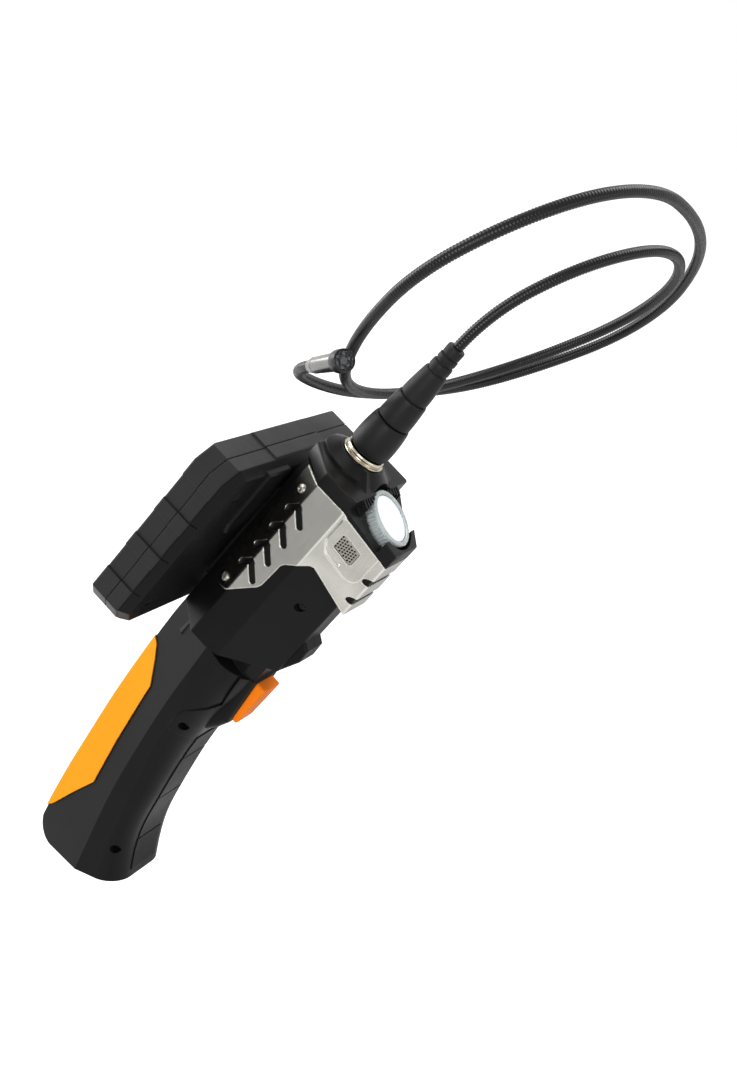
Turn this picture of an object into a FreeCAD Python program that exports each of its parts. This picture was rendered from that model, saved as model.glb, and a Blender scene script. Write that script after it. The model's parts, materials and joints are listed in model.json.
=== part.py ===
"""Handheld inspection camera with a dockable display, a work lamp and a gooseneck probe.

Millimetres.  +X is the user's right, +Y the finger side (the display looks along -Y) and +Z runs
up the head's axis.  Heights in this file are counted from the display's lower edge; save() lifts
everything by GRIP_TO_DISPLAY, so that the origin lies in the middle of the grip.
"""
import FreeCAD
import Part
import math
import os

V = FreeCAD.Vector

# ---------------------------------------------------------------- driving dimensions
GRIP_TO_DISPLAY = 60.0      # grip centre up to the display's lower edge
FIT = 0.15                  # clearance between parts that are assembled by hand
RUNNING = 0.3               # clearance round a part that moves
WALL = 2.2                  # moulded wall of the handle and the head

# head housing: an eight-sided section, listed as half-width X and depth Y
HEAD_HALF = 24.0            # side faces
HEAD_BACK = -22.3           # flat back, where the dock plate sits
HEAD_BACK_HALF = 10.9       # half-width of the flat back
HEAD_SIDE_BACK = -9.2       # where the back chamfer meets the side
HEAD_SIDE_FRONT = 4.5       # where the side meets the front facet
UPPER_FRONT = 26.9          # front of the head behind the steel shroud
UPPER_FRONT_HALF = 10.0
LOWER_FRONT = 23.5          # front of the bare lower housing
LOWER_FRONT_HALF = 8.0
HEAD_BOTTOM = 5.0
HEAD_TOP = 84.5
HEAD_BOTTOM_SLOPE = 15.0    # degrees, the lower edge climbs towards the front
CHIN_BACK_Z = 60.5          # the upper head's lower edge on the front facet ...
CHIN_FRONT_Z = 50.3         # ... and at the front face
CORNER_R = 1.2
STOP_EDGE_R = 0.9           # edges of the thumb stop under the chin

# steel shroud
STEEL = 0.6
SHROUD_FLANGE_X = 15.0      # the flange on the back chamfer ends at this half-width
SHROUD_TOP = 85.9
SHROUD_TOP_FRONT = 75.9
CHEVRON_PITCH = 9.8
CHEVRON_TOP_Z = 74.3        # apex of the highest chevron slot
CHEVRON_COUNT = 4
CHEVRON_WIDTH = 2.6
CHEVRON_REACH = 5.2         # how far each leg runs from the bend, across and down
FRONT_SLOTS_Z = (57.0, 67.0)
FRONT_SLOT_WIDTH = 3.0
SHROUD_SCREW_Z = (30.2, 78.3)
SHROUD_SCREW_HEAD = 3.6
SHROUD_SHANK_R = 0.85
SHROUD_SHANK = 5.4          # length of the shank inside the housing

# speaker mesh window on the front facet, measured along the facet from its back edge
MESH_ALONG = (5.2, 15.4)
MESH_TALL = 6.6
MESH_MID_Z = 75.9           # middle of the window at its back end
MESH_SLOPE = 20.5           # degrees, window and shroud edges fall towards the front
MESH_CORNER = 1.0
MESH_HOLE_R = 0.42
MESH_HOLE_PITCH = 1.18
MESH_THICK = 0.5
MESH_SEAT = 0.2             # the plate stands this far off the housing
EMBOSS = ((1.2, 88.0), (1.2, 73.4), (4.8, 67.8), (16.6, 63.2), (22.6, 62.8), (22.6, 80.0))
EMBOSS_HIGH = 0.8           # the pressed field round the window stands this far out
EMBOSS_CORNER = 3.0
EMBOSS_EDGE = 0.7
SCOOP = ((3.6, 70.5), (11.4, 67.6))
SCOOP_WIDTH = 1.5
SCOOP_DEEP = 0.5

# front bezel
BEZEL_TOP = 92.0            # level top, back to BEZEL_BREAK_Y
BEZEL_BREAK_Y = 4.5         # from here the top falls ...
BEZEL_TOP_FRONT = 82.0      # ... to this height at the front
BEZEL_EDGE_R = 0.8
SOCKET_Y = -9.2             # axis of the probe socket
BOSS_BASE_R = 14.4
BOSS_TOP_R = 9.6
BOSS_TOP = 96.0
COWL_BASE_HALF = 12.6       # fairing between the socket and the lamp
COWL_TOP_HALF = 8.4
COWL_TOP_FRONT = -1.8       # its top is level to here, then falls to the lamp
THREAD_R = 6.0              # bore of the socket
COLLAR_R = 8.2
COLLAR_TOP = 98.8

# work lamp
LAMP_Y = 14.7
LAMP_RIM_Z = 87.4
LAMP_R = 11.3
LAMP_TILT = 21.0            # degrees from the head's axis towards the finger side
LAMP_COLLAR = 6.6           # depth of the clear collar
LAMP_MOAT = 1.5             # open ring round the collar
LAMP_BODY_R = 9.4
LAMP_DEPTH = 17.0
LAMP_RIBS = 13              # ribs of the bezel behind the collar, over RIB_SWEEP degrees
RIB_SWEEP = 168.0
RIB_THICK = 0.7

# probe plug, all on the socket axis
PLUG_LOW = 99.3
NUT_R = 8.3
NUT_TOP_R = 7.4
NUT_TOP = 114.2
SLEEVE_TOP = 126.0
SLEEVE_R = (7.0, 6.1)
BOOT_TOP = 139.6
BOOT_R = (5.8, 4.5)
TAIL_TOP = 151.0
TAIL_R = 3.6

# gooseneck and camera
NECK_D = 4.4
BARREL_D = 8.2
BARREL_LENGTH = 27.0

# display
SCREEN_W = 76.0
SCREEN_H = 58.0
SCREEN_MARGIN = 7.1         # from the display's left side to the screen
KEY_STRIP = 27.1            # from the screen to the display's right side, with the keys in it
DISPLAY_W = SCREEN_MARGIN + SCREEN_W + KEY_STRIP
DISPLAY_H = 80.0
DISPLAY_FRONT = -41.6
DISPLAY_WALL = 13.9         # depth of the straight side wall
DISPLAY_BACK = -24.0        # flat of the back cover
DISPLAY_CHAMFER = 6.9
BUMPER = 2.4                # thickness of the rubber bumper
BUMPER_STEP = 0.8
BUMPER_CREASE = 7.8         # depth of the crease that runs round the bumper
BUMPER_EDGE_R = 0.9
GROOVE_WIDTH = 0.4
GROOVE_DEEP = 0.5
PAD_HALF = 21.0             # half-width of the proud pad on the display's top and lower edge
COVER_RIM = 0.5             # the back cover's bevel starts this far inside the outline ...
COVER_FLAT = 2.8            # ... and its flat this far
PAD_PITCH = 18.2
PAD_RAISED = 6.4            # length of the proud part of each pad
GROOVE_Z = 17.2             # lowest groove
SCREEN_X = SCREEN_MARGIN + (SCREEN_W - DISPLAY_W) / 2
KEY_COUNT = 5
KEY_FROM_SIDE = 13.6        # middle of the keys, in from the display's right side
KEY_X = DISPLAY_W / 2 - KEY_FROM_SIDE
KEY_PITCH = 11.5
KEY_W = 9.0
KEY_H = 6.5
KEY_PROUD = 0.9
DISPLAY_SCREW_SIDE = 13.1   # the cover screws, in from the display's sides ...
DISPLAY_SCREW_END = 12.0    # ... and from its top and lower edge
DISPLAY_CELL_H = 48.0

# raised ears of the back cover, one each side of the head: X and depth below the display's top edge
EAR = ((14.2, 2.0), (12.6, 20.0), (16.0, 31.0), (27.0, 34.0), (31.0, 28.0), (31.0, 2.0))
EAR_HIGH = 1.5
TICK_REACH = 3.6            # the grooves run this far over the back cover's bevel

# dock: two hooked lugs on the head drop into two pockets in the display's back
DOCK_THICK = 1.4
LUG_Z = (26.0, 52.0)        # lower edges of the lugs
LUG_TALL = 8.0
LUG_NECK_HALF = 3.5
LUG_HEAD_HALF = 6.5
LUG_HEAD_THICK = 1.8
LUG_NECK_LENGTH = 2.2
DOCK_LIFT = 9.0             # the display lifts this far to free the hooks

# handle: stations from the top down: height, ridge half-width, then the depth of the back, ridge,
# crease and front, and the bulge of the flank between crease and front
HANDLE_STATIONS = (
    (7.0, 22.7, -22.9, -0.9, 7.0, 17.0, 2.3),
    (-18.0, 21.6, -22.4, 0.8, 7.6, 18.0, 2.7),
    (-38.0, 20.6, -20.9, 2.7, 8.8, 18.1, 2.6),
    (-56.0, 19.7, -19.1, 5.1, 11.8, 20.4, 2.5),
    (-75.0, 19.4, -16.6, 8.3, 16.6, 23.8, 2.3),
    (-92.0, 19.5, -14.3, 12.3, 21.3, 28.4, 2.3),
    (-106.0, 19.9, -12.0, 16.2, 26.2, 35.7, 2.7),
    (-120.0, 20.3, -9.3, 20.0, 31.4, 44.2, 3.2),
    (-138.0, 20.8, -4.0, 25.5, 38.0, 55.0, 3.6),
)
HANDLE_BACK_HALF = 7.0
HANDLE_FRONT_HALF = 8.5
HANDLE_TOP = 4.8            # top face behind HANDLE_BREAK_Y
HANDLE_BREAK_Y = 0.0
HANDLE_TOP_FRONT = 1.3      # top face at the button
BUTT_BACK = (-6.5, -130.9)  # the butt's lower edge, Y and height
BUTT_FRONT = (37.3, -107.4)
BUTT_CORNER_R = 9.0         # rounding of the heel, seen from the side
NECK_SECTION = ((9.5, 19.8), (13.5, 15.0), (13.5, -14.0), (9.5, -18.0))
NECK_TOP = 14.0
PAD_DEEP = 1.2              # soft pads sink this far into the shells ...
PAD_PROUD = 0.5             # ... and stand this far out of them
PALM_EDGE = ((-26.0, -18.8), (-19.5, -20.5), (-15.3, -24.5), (-8.9, -32.2), (-8.3, -37.2), (-4.7, -62.1),
             (-0.3, -84.8), (-4.1, -97.0), (-8.5, -113.0), (-10.5, -117.0), (-26.0, -117.0))
FINGER_HALF = 9.0
FINGER_Z = (-104.5, -36.0)
FINGER_GROOVES = (-48.0, -70.0, -91.0)
FINGER_GROOVE = 0.8         # width and depth of a groove across the finger grip
PANEL_EDGE = ((15.4, 8.0), (17.4, -13.5), (15.2, -17.4), (9.2, -24.0), (7.7, -28.6), (8.3, -35.0),
              (30.0, -35.0), (30.0, 8.0))
PANEL_PROUD = (0.5, 0.5, 0.1)   # at the first stations of the handle; it dies away down the crease
PANEL_DEEP = 0.6
TRIGGER_HALF = 11.0         # half-width of the block that carries the button
TRIGGER_EDGE = 2.6
TRIGGER_SIDE = ((11.0, 8.0), (20.0, 8.0), (23.2, -20.4), (21.4, -25.0), (18.8, -29.5), (13.0, -34.0),
                (11.0, -34.0))

# power button on the finger side of the handle
BUTTON_LOW = -20.0
BUTTON_HIGH = 0.0
BUTTON_HALF = 7.0
BUTTON_FACE = 25.2
BUTTON_BASE = 18.0
BUTTON_TRAVEL = 1.6
BUTTON_STEM_R = 1.6
WELL_FLOOR = 16.2           # outer face of the floor the button's spring stands on
WELL_FLOOR_THICK = 1.7
SPRING_R = 2.6
SPRING_WIRE = 1.0
SPRING_TURNS = 3.5

# case screws: Y, height, and the half-width of the face each one sinks into
HEAD_SCREW = (14.4, 41.7, 17.6)
HANDLE_SCREWS = ((12.6, -30.4, 19.7), (25.7, -96.3, 18.6))
SCREW_WELL_R = 1.9
SCREW_WELL = 6.4
SCREW_HEAD_R = 1.7
SCREW_SHANK_R = 1.15
SCREW_BOSS_R = 2.7

# battery: four round cells, two long and two wide
CELL_R = 7.25
CELL_LENGTH = 50.5
CELL_TOP = (-1.2, -9.5)     # middle of the pack's top end, Y and height
CELL_LEAN = 9.0             # degrees, the pack leans with the handle
CELL_GAP = 0.3
BAY_GAP = 0.5               # clearance between the cells and their bay
DOOR_THICK = 2.2
DOOR_LIP = 1.6              # the door overlaps the bay's mouth by this much

# route of the gooseneck's centre line, from the plug's tail to the camera
ROUTE = (
    (0, -9.2, 151), (0, -9, 168), (-12, 1, 198), (-38, 12, 217), (-70, 18, 216),
    (-99, 19, 200), (-117, 11, 172), (-117, -3, 141), (-100, -15, 118), (-72, -24, 104),
    (-39, -31, 100), (-6, -33, 108), (23, -31, 125), (46, -28, 149), (61, -22, 178),
    (56, -11, 208), (36, 0, 231), (7, 9, 240), (-26, 16, 236), (-60, 20, 227),
    (-91, 21, 213), (-116, 20, 191), (-128, 12, 163), (-124, -2, 134), (-107, -16, 110),
    (-78, -28, 98), (-44, -37, 94), (-13, -44, 97), (20, -45.5, 107.7), (31.3, -37.2, 118.9),
)

nodes = {}


# ---------------------------------------------------------------- helpers
def face(points):
    """Flat face through a closed list of points."""
    return Part.Face(Part.makePolygon([V(*p) for p in points] + [V(*points[0])]))


def mirrored(half):
    """Closed XY outline from the points of its +X half, front to back or back to front."""
    return half + [(-x, y) for x, y in reversed(half)]


def prism(outline, low, high):
    """Solid of an XY outline between two heights."""
    return face([(x, y, low) for x, y in outline]).extrude(V(0, 0, high - low))


def slab(outline, half):
    """Solid of a YZ outline, as wide as twice half, centred on the symmetry plane."""
    return face([(-half, y, z) for y, z in outline]).extrude(V(2 * half, 0, 0))


def plate(outline, y0, y1):
    """Solid of an XZ outline between two depths."""
    return face([(x, y0, z) for x, z in outline]).extrude(V(0, y1 - y0, 0))


def box(x0, x1, y0, y1, z0, z1):
    """Box between opposite corners."""
    return Part.makeBox(x1 - x0, y1 - y0, z1 - z0, V(x0, y0, z0))


def cyl(radius, length, base, axis=(0, 0, 1)):
    """Cylinder from a base point along an axis."""
    return Part.makeCylinder(radius, length, V(*base), V(*axis))


def round_wire(points, radius):
    """Closed wire through flat corner points, each corner rounded by an arc."""
    edges, last, first = [], None, None
    ring = [V(*p) for p in points]
    for before, here, after in zip(ring[-1:] + ring[:-1], ring, ring[1:] + ring[:1]):
        d1, d2 = here - before, after - here
        d1.normalize()
        d2.normalize()
        half = math.acos(max(-1.0, min(1.0, d1.dot(d2)))) / 2
        cut = radius * math.tan(half)
        start, end = here - d1 * cut, here + d2 * cut
        middle = (d2 - d1)
        middle.normalize()
        top = here + middle * (radius / math.cos(half) - radius)
        if last is None:
            first = start
        else:
            edges.append(Part.LineSegment(last, start).toShape())
        edges.append(Part.Arc(start, top, end).toShape())
        last = end
    edges.append(Part.LineSegment(last, first).toShape())
    return Part.Wire(edges)


def mirror_x(shape):
    """Copy of a shape on the other side of the symmetry plane."""
    return shape.mirror(V(0, 0, 0), V(1, 0, 0))


def both(shape):
    """A shape and its mirror image as one compound."""
    return Part.makeCompound([shape, mirror_x(shape)])


def save(name, shape):
    """Keep a node's solids at their place over the grip's centre."""
    solids = shape.removeSplitter().Solids if shape.Solids else []
    moved = Part.makeCompound(solids) if len(solids) > 1 else solids[0]
    moved = moved.copy()
    moved.translate(V(0, 0, GRIP_TO_DISPLAY))
    nodes[name] = moved


def rounded(shape, radius, pick):
    """Fillet the edges that pick() chooses."""
    edges = [e for e in shape.Edges if pick(e)]
    return shape.makeFillet(radius, edges) if edges else shape


def upright(edge):
    """True for a straight edge along the head's axis."""
    if len(edge.Vertexes) != 2 or not isinstance(edge.Curve, Part.Line):
        return False
    return abs(edge.tangentAt(edge.FirstParameter).z) > 0.999


def along_side(edge):
    """True for an edge that lies in a plane square to X, on the finger side of the head."""
    middle = edge.CenterOfMass
    flat = abs(edge.tangentAt(edge.FirstParameter).x) < 0.001
    return flat and middle.y > LOWER_FRONT + 0.3


# ---------------------------------------------------------------- head sections
def upper_half(grow=0.0):
    """+X half of the upper head's section, front to back, grown outwards."""
    return grown(((UPPER_FRONT_HALF, UPPER_FRONT), (HEAD_HALF, HEAD_SIDE_FRONT),
                  (HEAD_HALF, HEAD_SIDE_BACK), (HEAD_BACK_HALF, HEAD_BACK)), grow)


def lower_half(grow=0.0):
    """+X half of the lower head's section."""
    return grown(((LOWER_FRONT_HALF, LOWER_FRONT), (HEAD_HALF, HEAD_SIDE_FRONT),
                  (HEAD_HALF, HEAD_SIDE_BACK), (HEAD_BACK_HALF, HEAD_BACK)), grow)


def grown(half, grow):
    """Offset the +X half of a convex section; its ends lie on faces square to Y."""
    if not grow:
        return list(half)
    points = [(-half[0][0], half[0][1])] + list(half) + [(-half[-1][0], half[-1][1])]
    result = []
    for before, here, after in zip(points, points[1:], points[2:]):
        n1 = outward(before, here)
        n2 = outward(here, after)
        scale = grow / (1 + n1[0] * n2[0] + n1[1] * n2[1])
        result.append((here[0] + (n1[0] + n2[0]) * scale, here[1] + (n1[1] + n2[1]) * scale))
    return result


def outward(a, b):
    """Unit normal on the left of the way from a to b, outwards on a section listed front to back."""
    dx, dy = b[0] - a[0], b[1] - a[1]
    size = math.hypot(dx, dy)
    return (-dy / size, dx / size)


def facet_frame():
    """Back edge, direction and outward normal of the upper front facet (+X side)."""
    start = V(HEAD_HALF, HEAD_SIDE_FRONT, 0)
    along = V(UPPER_FRONT_HALF - HEAD_HALF, UPPER_FRONT - HEAD_SIDE_FRONT, 0)
    length = along.Length
    along.normalize()
    return start, along, V(along.y, -along.x, 0), length


def on_facet(along_mm, height, out=0.0):
    """Point on the front facet, a distance along it from its back edge and a height."""
    start, along, normal, _ = facet_frame()
    return start + along * along_mm + normal * out + V(0, 0, height)


def shroud_outline(shrink=0.0):
    """Side view of the shroud: its lower and upper edges as Y and height."""
    _, along, _, length = facet_frame()
    chin_mid = HEAD_SIDE_FRONT + 5.0
    front = UPPER_FRONT + 5.0
    drop = (CHIN_BACK_Z - CHIN_FRONT_Z) / (UPPER_FRONT - chin_mid)
    fall = (SHROUD_TOP - SHROUD_TOP_FRONT) / (UPPER_FRONT - HEAD_SIDE_FRONT)
    return [(HEAD_BACK - 5, 25.0), (HEAD_SIDE_BACK - 5, 25.4), (HEAD_SIDE_BACK, 29.0),
            (-0.9, 39.4), (-0.2, 41.4), (0.3, 52.4), (1.2, 54.2),
            (chin_mid - 1.5, CHIN_BACK_Z - 0.2), (chin_mid, CHIN_BACK_Z),
            (front, CHIN_BACK_Z - drop * (front - chin_mid)),
            (front, SHROUD_TOP - fall * (front - HEAD_SIDE_FRONT)),
            (HEAD_SIDE_FRONT, SHROUD_TOP), (HEAD_SIDE_BACK, SHROUD_TOP), (HEAD_BACK - 5, SHROUD_TOP - 2.4)]


# ---------------------------------------------------------------- case screws
def screw_boss(screw):
    """Boss right across a shell, and the stepped hole for its screw."""
    y, z, surface = screw
    boss = cyl(SCREW_BOSS_R, 60, (-30, y, z), (1, 0, 0))
    seat = surface - SCREW_WELL
    hole = cyl(SCREW_WELL_R, 30, (seat, y, z), (1, 0, 0))
    return boss, hole.fuse(cyl(SCREW_SHANK_R + 0.1, seat + 9, (-8, y, z), (1, 0, 0)))


def make_case_screws():
    """Screws that hold the right shells to the left ones."""
    screws = []
    for y, z, surface in (HEAD_SCREW,) + HANDLE_SCREWS:
        seat = surface - SCREW_WELL
        head = cyl(SCREW_HEAD_R, 1.4, (seat, y, z), (1, 0, 0))
        cross = box(seat + 0.7, seat + 2, y - 1.2, y + 1.2, z - 0.2, z + 0.2)
        cross = cross.fuse(box(seat + 0.7, seat + 2, y - 0.2, y + 0.2, z - 1.2, z + 1.2))
        screws.append(head.fuse(cyl(SCREW_SHANK_R, seat + 7, (-7, y, z), (1, 0, 0))).cut(cross))
    save("case_screws", Part.makeCompound(screws))


# ---------------------------------------------------------------- head housing
def head_outer():
    """Outer solid of the head housing, both halves together."""
    chin = HEAD_SIDE_FRONT + 5.0
    drop = (CHIN_BACK_Z - CHIN_FRONT_Z) / (UPPER_FRONT - chin)
    upper = prism(mirrored(upper_half()), 20, HEAD_TOP)
    fall = (SHROUD_TOP - SHROUD_TOP_FRONT) / (UPPER_FRONT - HEAD_SIDE_FRONT)
    front = UPPER_FRONT + 2
    keep = slab([(HEAD_BACK - 1, 20), (HEAD_SIDE_FRONT - 2, 20), (HEAD_SIDE_FRONT - 2, CHIN_BACK_Z + 1.5),
                 (chin, CHIN_BACK_Z + 0.6), (front, CHIN_BACK_Z + 0.6 - drop * (front - chin)),
                 (front, SHROUD_TOP - 1.4 - fall * (front - HEAD_SIDE_FRONT)),
                 (HEAD_SIDE_FRONT, HEAD_TOP), (HEAD_BACK - 1, HEAD_TOP)], HEAD_HALF + 1)
    lower = rounded(prism(mirrored(lower_half()), HEAD_BOTTOM - 3, 70), CORNER_R, upright)
    slope = math.tan(math.radians(HEAD_BOTTOM_SLOPE))
    reach = 40.0
    below = slab([(-reach, HEAD_BOTTOM - 9), (reach, HEAD_BOTTOM - 9), (reach, HEAD_BOTTOM + reach * slope),
                  (0, HEAD_BOTTOM), (-reach, HEAD_BOTTOM)], HEAD_HALF + 2)
    body = lower.cut(below).fuse(rounded(upper, CORNER_R, upright).common(keep))
    low = HEAD_BOTTOM + LOWER_FRONT * slope
    stop = slab([(LOWER_FRONT - 3, 28.5), (LOWER_FRONT, 28.5), (LOWER_FRONT + 3.2, 26.2),
                 (LOWER_FRONT + 3.6, 20.0), (LOWER_FRONT, low), (LOWER_FRONT - 3, low)], LOWER_FRONT_HALF - 1)
    return body.fuse(rounded(stop, STOP_EDGE_R, along_side)).removeSplitter()


def head_inner():
    """Hollow of the head housing."""
    core = prism(mirrored(lower_half(-WALL)), HEAD_BOTTOM + 9.5, HEAD_TOP - 6)
    return core


def make_head():
    """Right and left head housings with their screw bosses."""
    outer = head_outer()
    shell = outer.cut(head_inner())
    boss, hole = screw_boss(HEAD_SCREW)
    shell = shell.fuse(boss.common(outer)).cut(hole)
    for z in SHROUD_SCREW_Z:
        point, out = facet_screw_axis(z)
        deep = SHROUD_SHANK + 0.6
        pillar = Part.makeCylinder(SHROUD_SHANK_R + 1.2, deep, point - out * deep, out)
        drill = Part.makeCylinder(SHROUD_SHANK_R + 0.05, SHROUD_SHANK + 0.1, point - out * SHROUD_SHANK, out)
        shell = shell.fuse([pillar, mirror_x(pillar)]).cut(drill).cut(mirror_x(drill))
    lamp = lamp_cylinder(LAMP_BODY_R + FIT, 1.0, LAMP_DEPTH + 0.6)
    lamp = lamp.fuse(lamp_cylinder(LAMP_R + LAMP_MOAT + 0.8, 1.0, LAMP_COLLAR + 0.8))
    socket = cyl(COLLAR_R - 1.2 + FIT, 24, (0, SOCKET_Y, HEAD_TOP - 18))
    shell = shell.cut(lamp).cut(socket).cut(neck_solid(FIT))
    gap = FIT / 2
    right = shell.cut(box(-60, gap, -60, 60, -20, 120))
    left = shell.cut(box(-gap, 60, -60, 60, -20, 120))
    save("head_right_shell", right)
    save("head_left_shell", left)


# ---------------------------------------------------------------- steel shroud
def facet_screw_axis(z):
    """Middle of the flange on the back chamfer, and its outward direction."""
    mid_x = (HEAD_HALF + STEEL + SHROUD_FLANGE_X) / 2
    mid_y = HEAD_SIDE_BACK - (HEAD_HALF - mid_x)
    out = V(1, -1, 0)
    out.normalize()
    return V(mid_x, mid_y, z), out


def leg(start, end, width, depth_dir, depth):
    """Round-ended slot cutter between two points on a face."""
    along = end - start
    length = along.Length
    along.normalize()
    side = along.cross(depth_dir) * (width / 2)
    base = start - depth_dir * (depth / 2)
    quad = Part.makePolygon([base + side, base + side + along * length,
                             base - side + along * length, base - side, base + side])
    bar = Part.Face(quad).extrude(depth_dir * depth)
    ends = [Part.makeCylinder(width / 2, depth, p - depth_dir * (depth / 2), depth_dir) for p in (start, end)]
    return bar.fuse(ends)


def make_shroud():
    """Bent steel shroud with its chevrons, front slots and mesh windows."""
    outside = prism(mirrored(upper_half(STEEL)), 20, SHROUD_TOP + 2)
    inside = prism(mirrored(upper_half(0.0)), 19, SHROUD_TOP + 3)
    outside = rounded(outside, CORNER_R + STEEL, upright)
    inside = rounded(inside, CORNER_R, upright)
    band = outside.cut(inside).common(slab(shroud_outline(), HEAD_HALF + 5))
    reach = SHROUD_FLANGE_X
    limit = HEAD_SIDE_BACK - (HEAD_HALF - reach)
    band = band.cut(box(-reach, reach, HEAD_BACK - 5, limit + 4, 0, 120))
    bend = V(HEAD_HALF + STEEL / 2, HEAD_SIDE_BACK, 0)
    back = V(-1, -1, 0)
    back.normalize()
    flange_out = V(1, -1, 0)
    flange_out.normalize()
    for i in range(CHEVRON_COUNT):
        apex = bend + V(0, 0, CHEVRON_TOP_Z - i * CHEVRON_PITCH)
        side_leg = leg(apex, apex + V(0, CHEVRON_REACH, -CHEVRON_REACH), CHEVRON_WIDTH, V(1, 0, 0), 4)
        lower_end = apex + back * CHEVRON_REACH + V(0, 0, -CHEVRON_REACH)
        back_leg = leg(apex, lower_end, CHEVRON_WIDTH, flange_out, 4)
        cutter = side_leg.fuse(back_leg)
        band = band.cut(cutter).cut(mirror_x(cutter))
    field = emboss_field().cut(inside).common(slab(shroud_outline(), HEAD_HALF + 5))
    band = band.fuse([field, mirror_x(field)])
    for z in FRONT_SLOTS_Z:
        reach = UPPER_FRONT_HALF + 0.9
        slot = leg(V(-reach, UPPER_FRONT, z), V(reach, UPPER_FRONT, z), FRONT_SLOT_WIDTH, V(0, 1, 0), 12)
        band = band.cut(slot)
    for cutter in (window_block(0.0, 6.0), scoop_cutter()):
        band = band.cut(cutter).cut(mirror_x(cutter))
    for z in SHROUD_SCREW_Z:
        point, out = facet_screw_axis(z)
        hole = Part.makeCylinder(SHROUD_SHANK_R + 0.15, 8, point - out * 4, out)
        band = band.cut(hole).cut(mirror_x(hole))
    save("steel_shroud", band)


def emboss_field():
    """Pressed field round the speaker window; it dies away towards the front of the head."""
    _, _, _, length = facet_frame()
    base, top = [], []
    middle = (sum(p[0] for p in EMBOSS) / len(EMBOSS), sum(p[1] for p in EMBOSS) / len(EMBOSS))
    for along, height in EMBOSS:
        away = V(along - middle[0], height - middle[1], 0)
        away.normalize()
        away *= EMBOSS_EDGE
        base.append(on_facet(along + away.x, height + away.y, 0.1))
        inner = along - away.x
        top.append(on_facet(inner, height - away.y, STEEL + EMBOSS_HIGH * (1 - inner / length)))
    return Part.makeLoft([round_wire(base, EMBOSS_CORNER), round_wire(top, EMBOSS_CORNER)], True, True)


def scoop_cutter():
    """Shallow pressed channel under the speaker window."""
    _, _, normal, _ = facet_frame()
    (w0, z0), (w1, z1) = SCOOP
    return leg(on_facet(w0, z0, STEEL + EMBOSS_HIGH), on_facet(w1, z1, STEEL + EMBOSS_HIGH * 0.6),
               SCOOP_WIDTH, normal, SCOOP_DEEP * 2)


def window_middle(along):
    """Height of the window's middle line at a distance along the facet."""
    return MESH_MID_Z - (along - MESH_ALONG[0]) * math.tan(math.radians(MESH_SLOPE))


def window_block(inset, depth):
    """Block through the speaker window of the +X facet, its corners rounded."""
    a, b = MESH_ALONG[0] + inset, MESH_ALONG[1] - inset
    half = MESH_TALL / 2 - inset
    corners = [on_facet(along, window_middle(along) + sign * half, STEEL - depth / 2)
               for along, sign in ((a, 1), (b, 1), (b, -1), (a, -1))]
    _, _, normal, _ = facet_frame()
    return Part.Face(round_wire(corners, MESH_CORNER - inset)).extrude(normal * depth)


def make_mesh():
    """Perforated plates in the shroud's two windows; the holes stand in staggered columns."""
    _, _, normal, _ = facet_frame()
    sheet = window_block(FIT, MESH_THICK)
    sheet.translate(normal * (MESH_THICK / 2 - STEEL + MESH_SEAT))
    holes = []
    margin = MESH_HOLE_R + 0.35
    columns = int((MESH_ALONG[1] - MESH_ALONG[0] - 2 * margin) / MESH_HOLE_PITCH) + 1
    for i in range(columns):
        along = MESH_ALONG[0] + margin + i * MESH_HOLE_PITCH
        shift = MESH_HOLE_PITCH / 2 * (i % 2)
        rows = int((MESH_TALL - 2 * margin - shift) / MESH_HOLE_PITCH) + 1
        low = window_middle(along) - MESH_TALL / 2 + margin + shift
        holes += [Part.makeCylinder(MESH_HOLE_R, 3, on_facet(along, low + j * MESH_HOLE_PITCH, -1), normal)
                  for j in range(rows)]
    save("mesh_plates", both(sheet.cut(holes)))


def make_shroud_screws():
    """Four pan-head screws through the shroud's flanges."""
    screws = []
    for z in SHROUD_SCREW_Z:
        point, out = facet_screw_axis(z)
        surface = point + out * STEEL
        head = Part.makeCylinder(SHROUD_SCREW_HEAD / 2, 0.9, surface, out)
        head = rounded(head, 0.4, lambda e: (e.CenterOfMass - surface).dot(out) > 0.8)
        drive = box(-1.1, 1.1, -0.2, 0.2, 0, 1).fuse(box(-0.2, 0.2, -1.1, 1.1, 0, 1))
        drive.Placement = FreeCAD.Placement(surface + out * 0.4, FreeCAD.Rotation(V(0, 0, 1), out))
        shank = Part.makeCylinder(SHROUD_SHANK_R, SHROUD_SHANK - 0.2 + STEEL, surface, out * -1)
        screws.append(head.cut(drive).fuse(shank))
    save("shroud_screws", Part.makeCompound(screws + [mirror_x(s) for s in screws]))


# ---------------------------------------------------------------- bezel, socket and lamp
def lamp_axis():
    """Direction of the lamp's beam."""
    tilt = math.radians(LAMP_TILT)
    return V(0, math.sin(tilt), math.cos(tilt))


def lamp_cylinder(radius, above, below):
    """Cylinder on the lamp's axis, reaching above and below its front rim."""
    axis = lamp_axis()
    rim = V(0, LAMP_Y, LAMP_RIM_Z)
    return Part.makeCylinder(radius, above + below, rim - axis * below, axis)


def bezel_slope():
    """Fall of the bezel's top for each millimetre towards the front."""
    return (BEZEL_TOP - BEZEL_TOP_FRONT) / (UPPER_FRONT + STEEL - BEZEL_BREAK_Y)


def on_bezel_top(edge):
    """True for an edge that lies in the bezel's level or falling top."""
    def above(point):
        return abs(point.z - BEZEL_TOP + bezel_slope() * max(0.0, point.y - BEZEL_BREAK_Y)) < 0.02
    return above(edge.CenterOfMass) and all(above(v.Point) for v in edge.Vertexes)


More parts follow.
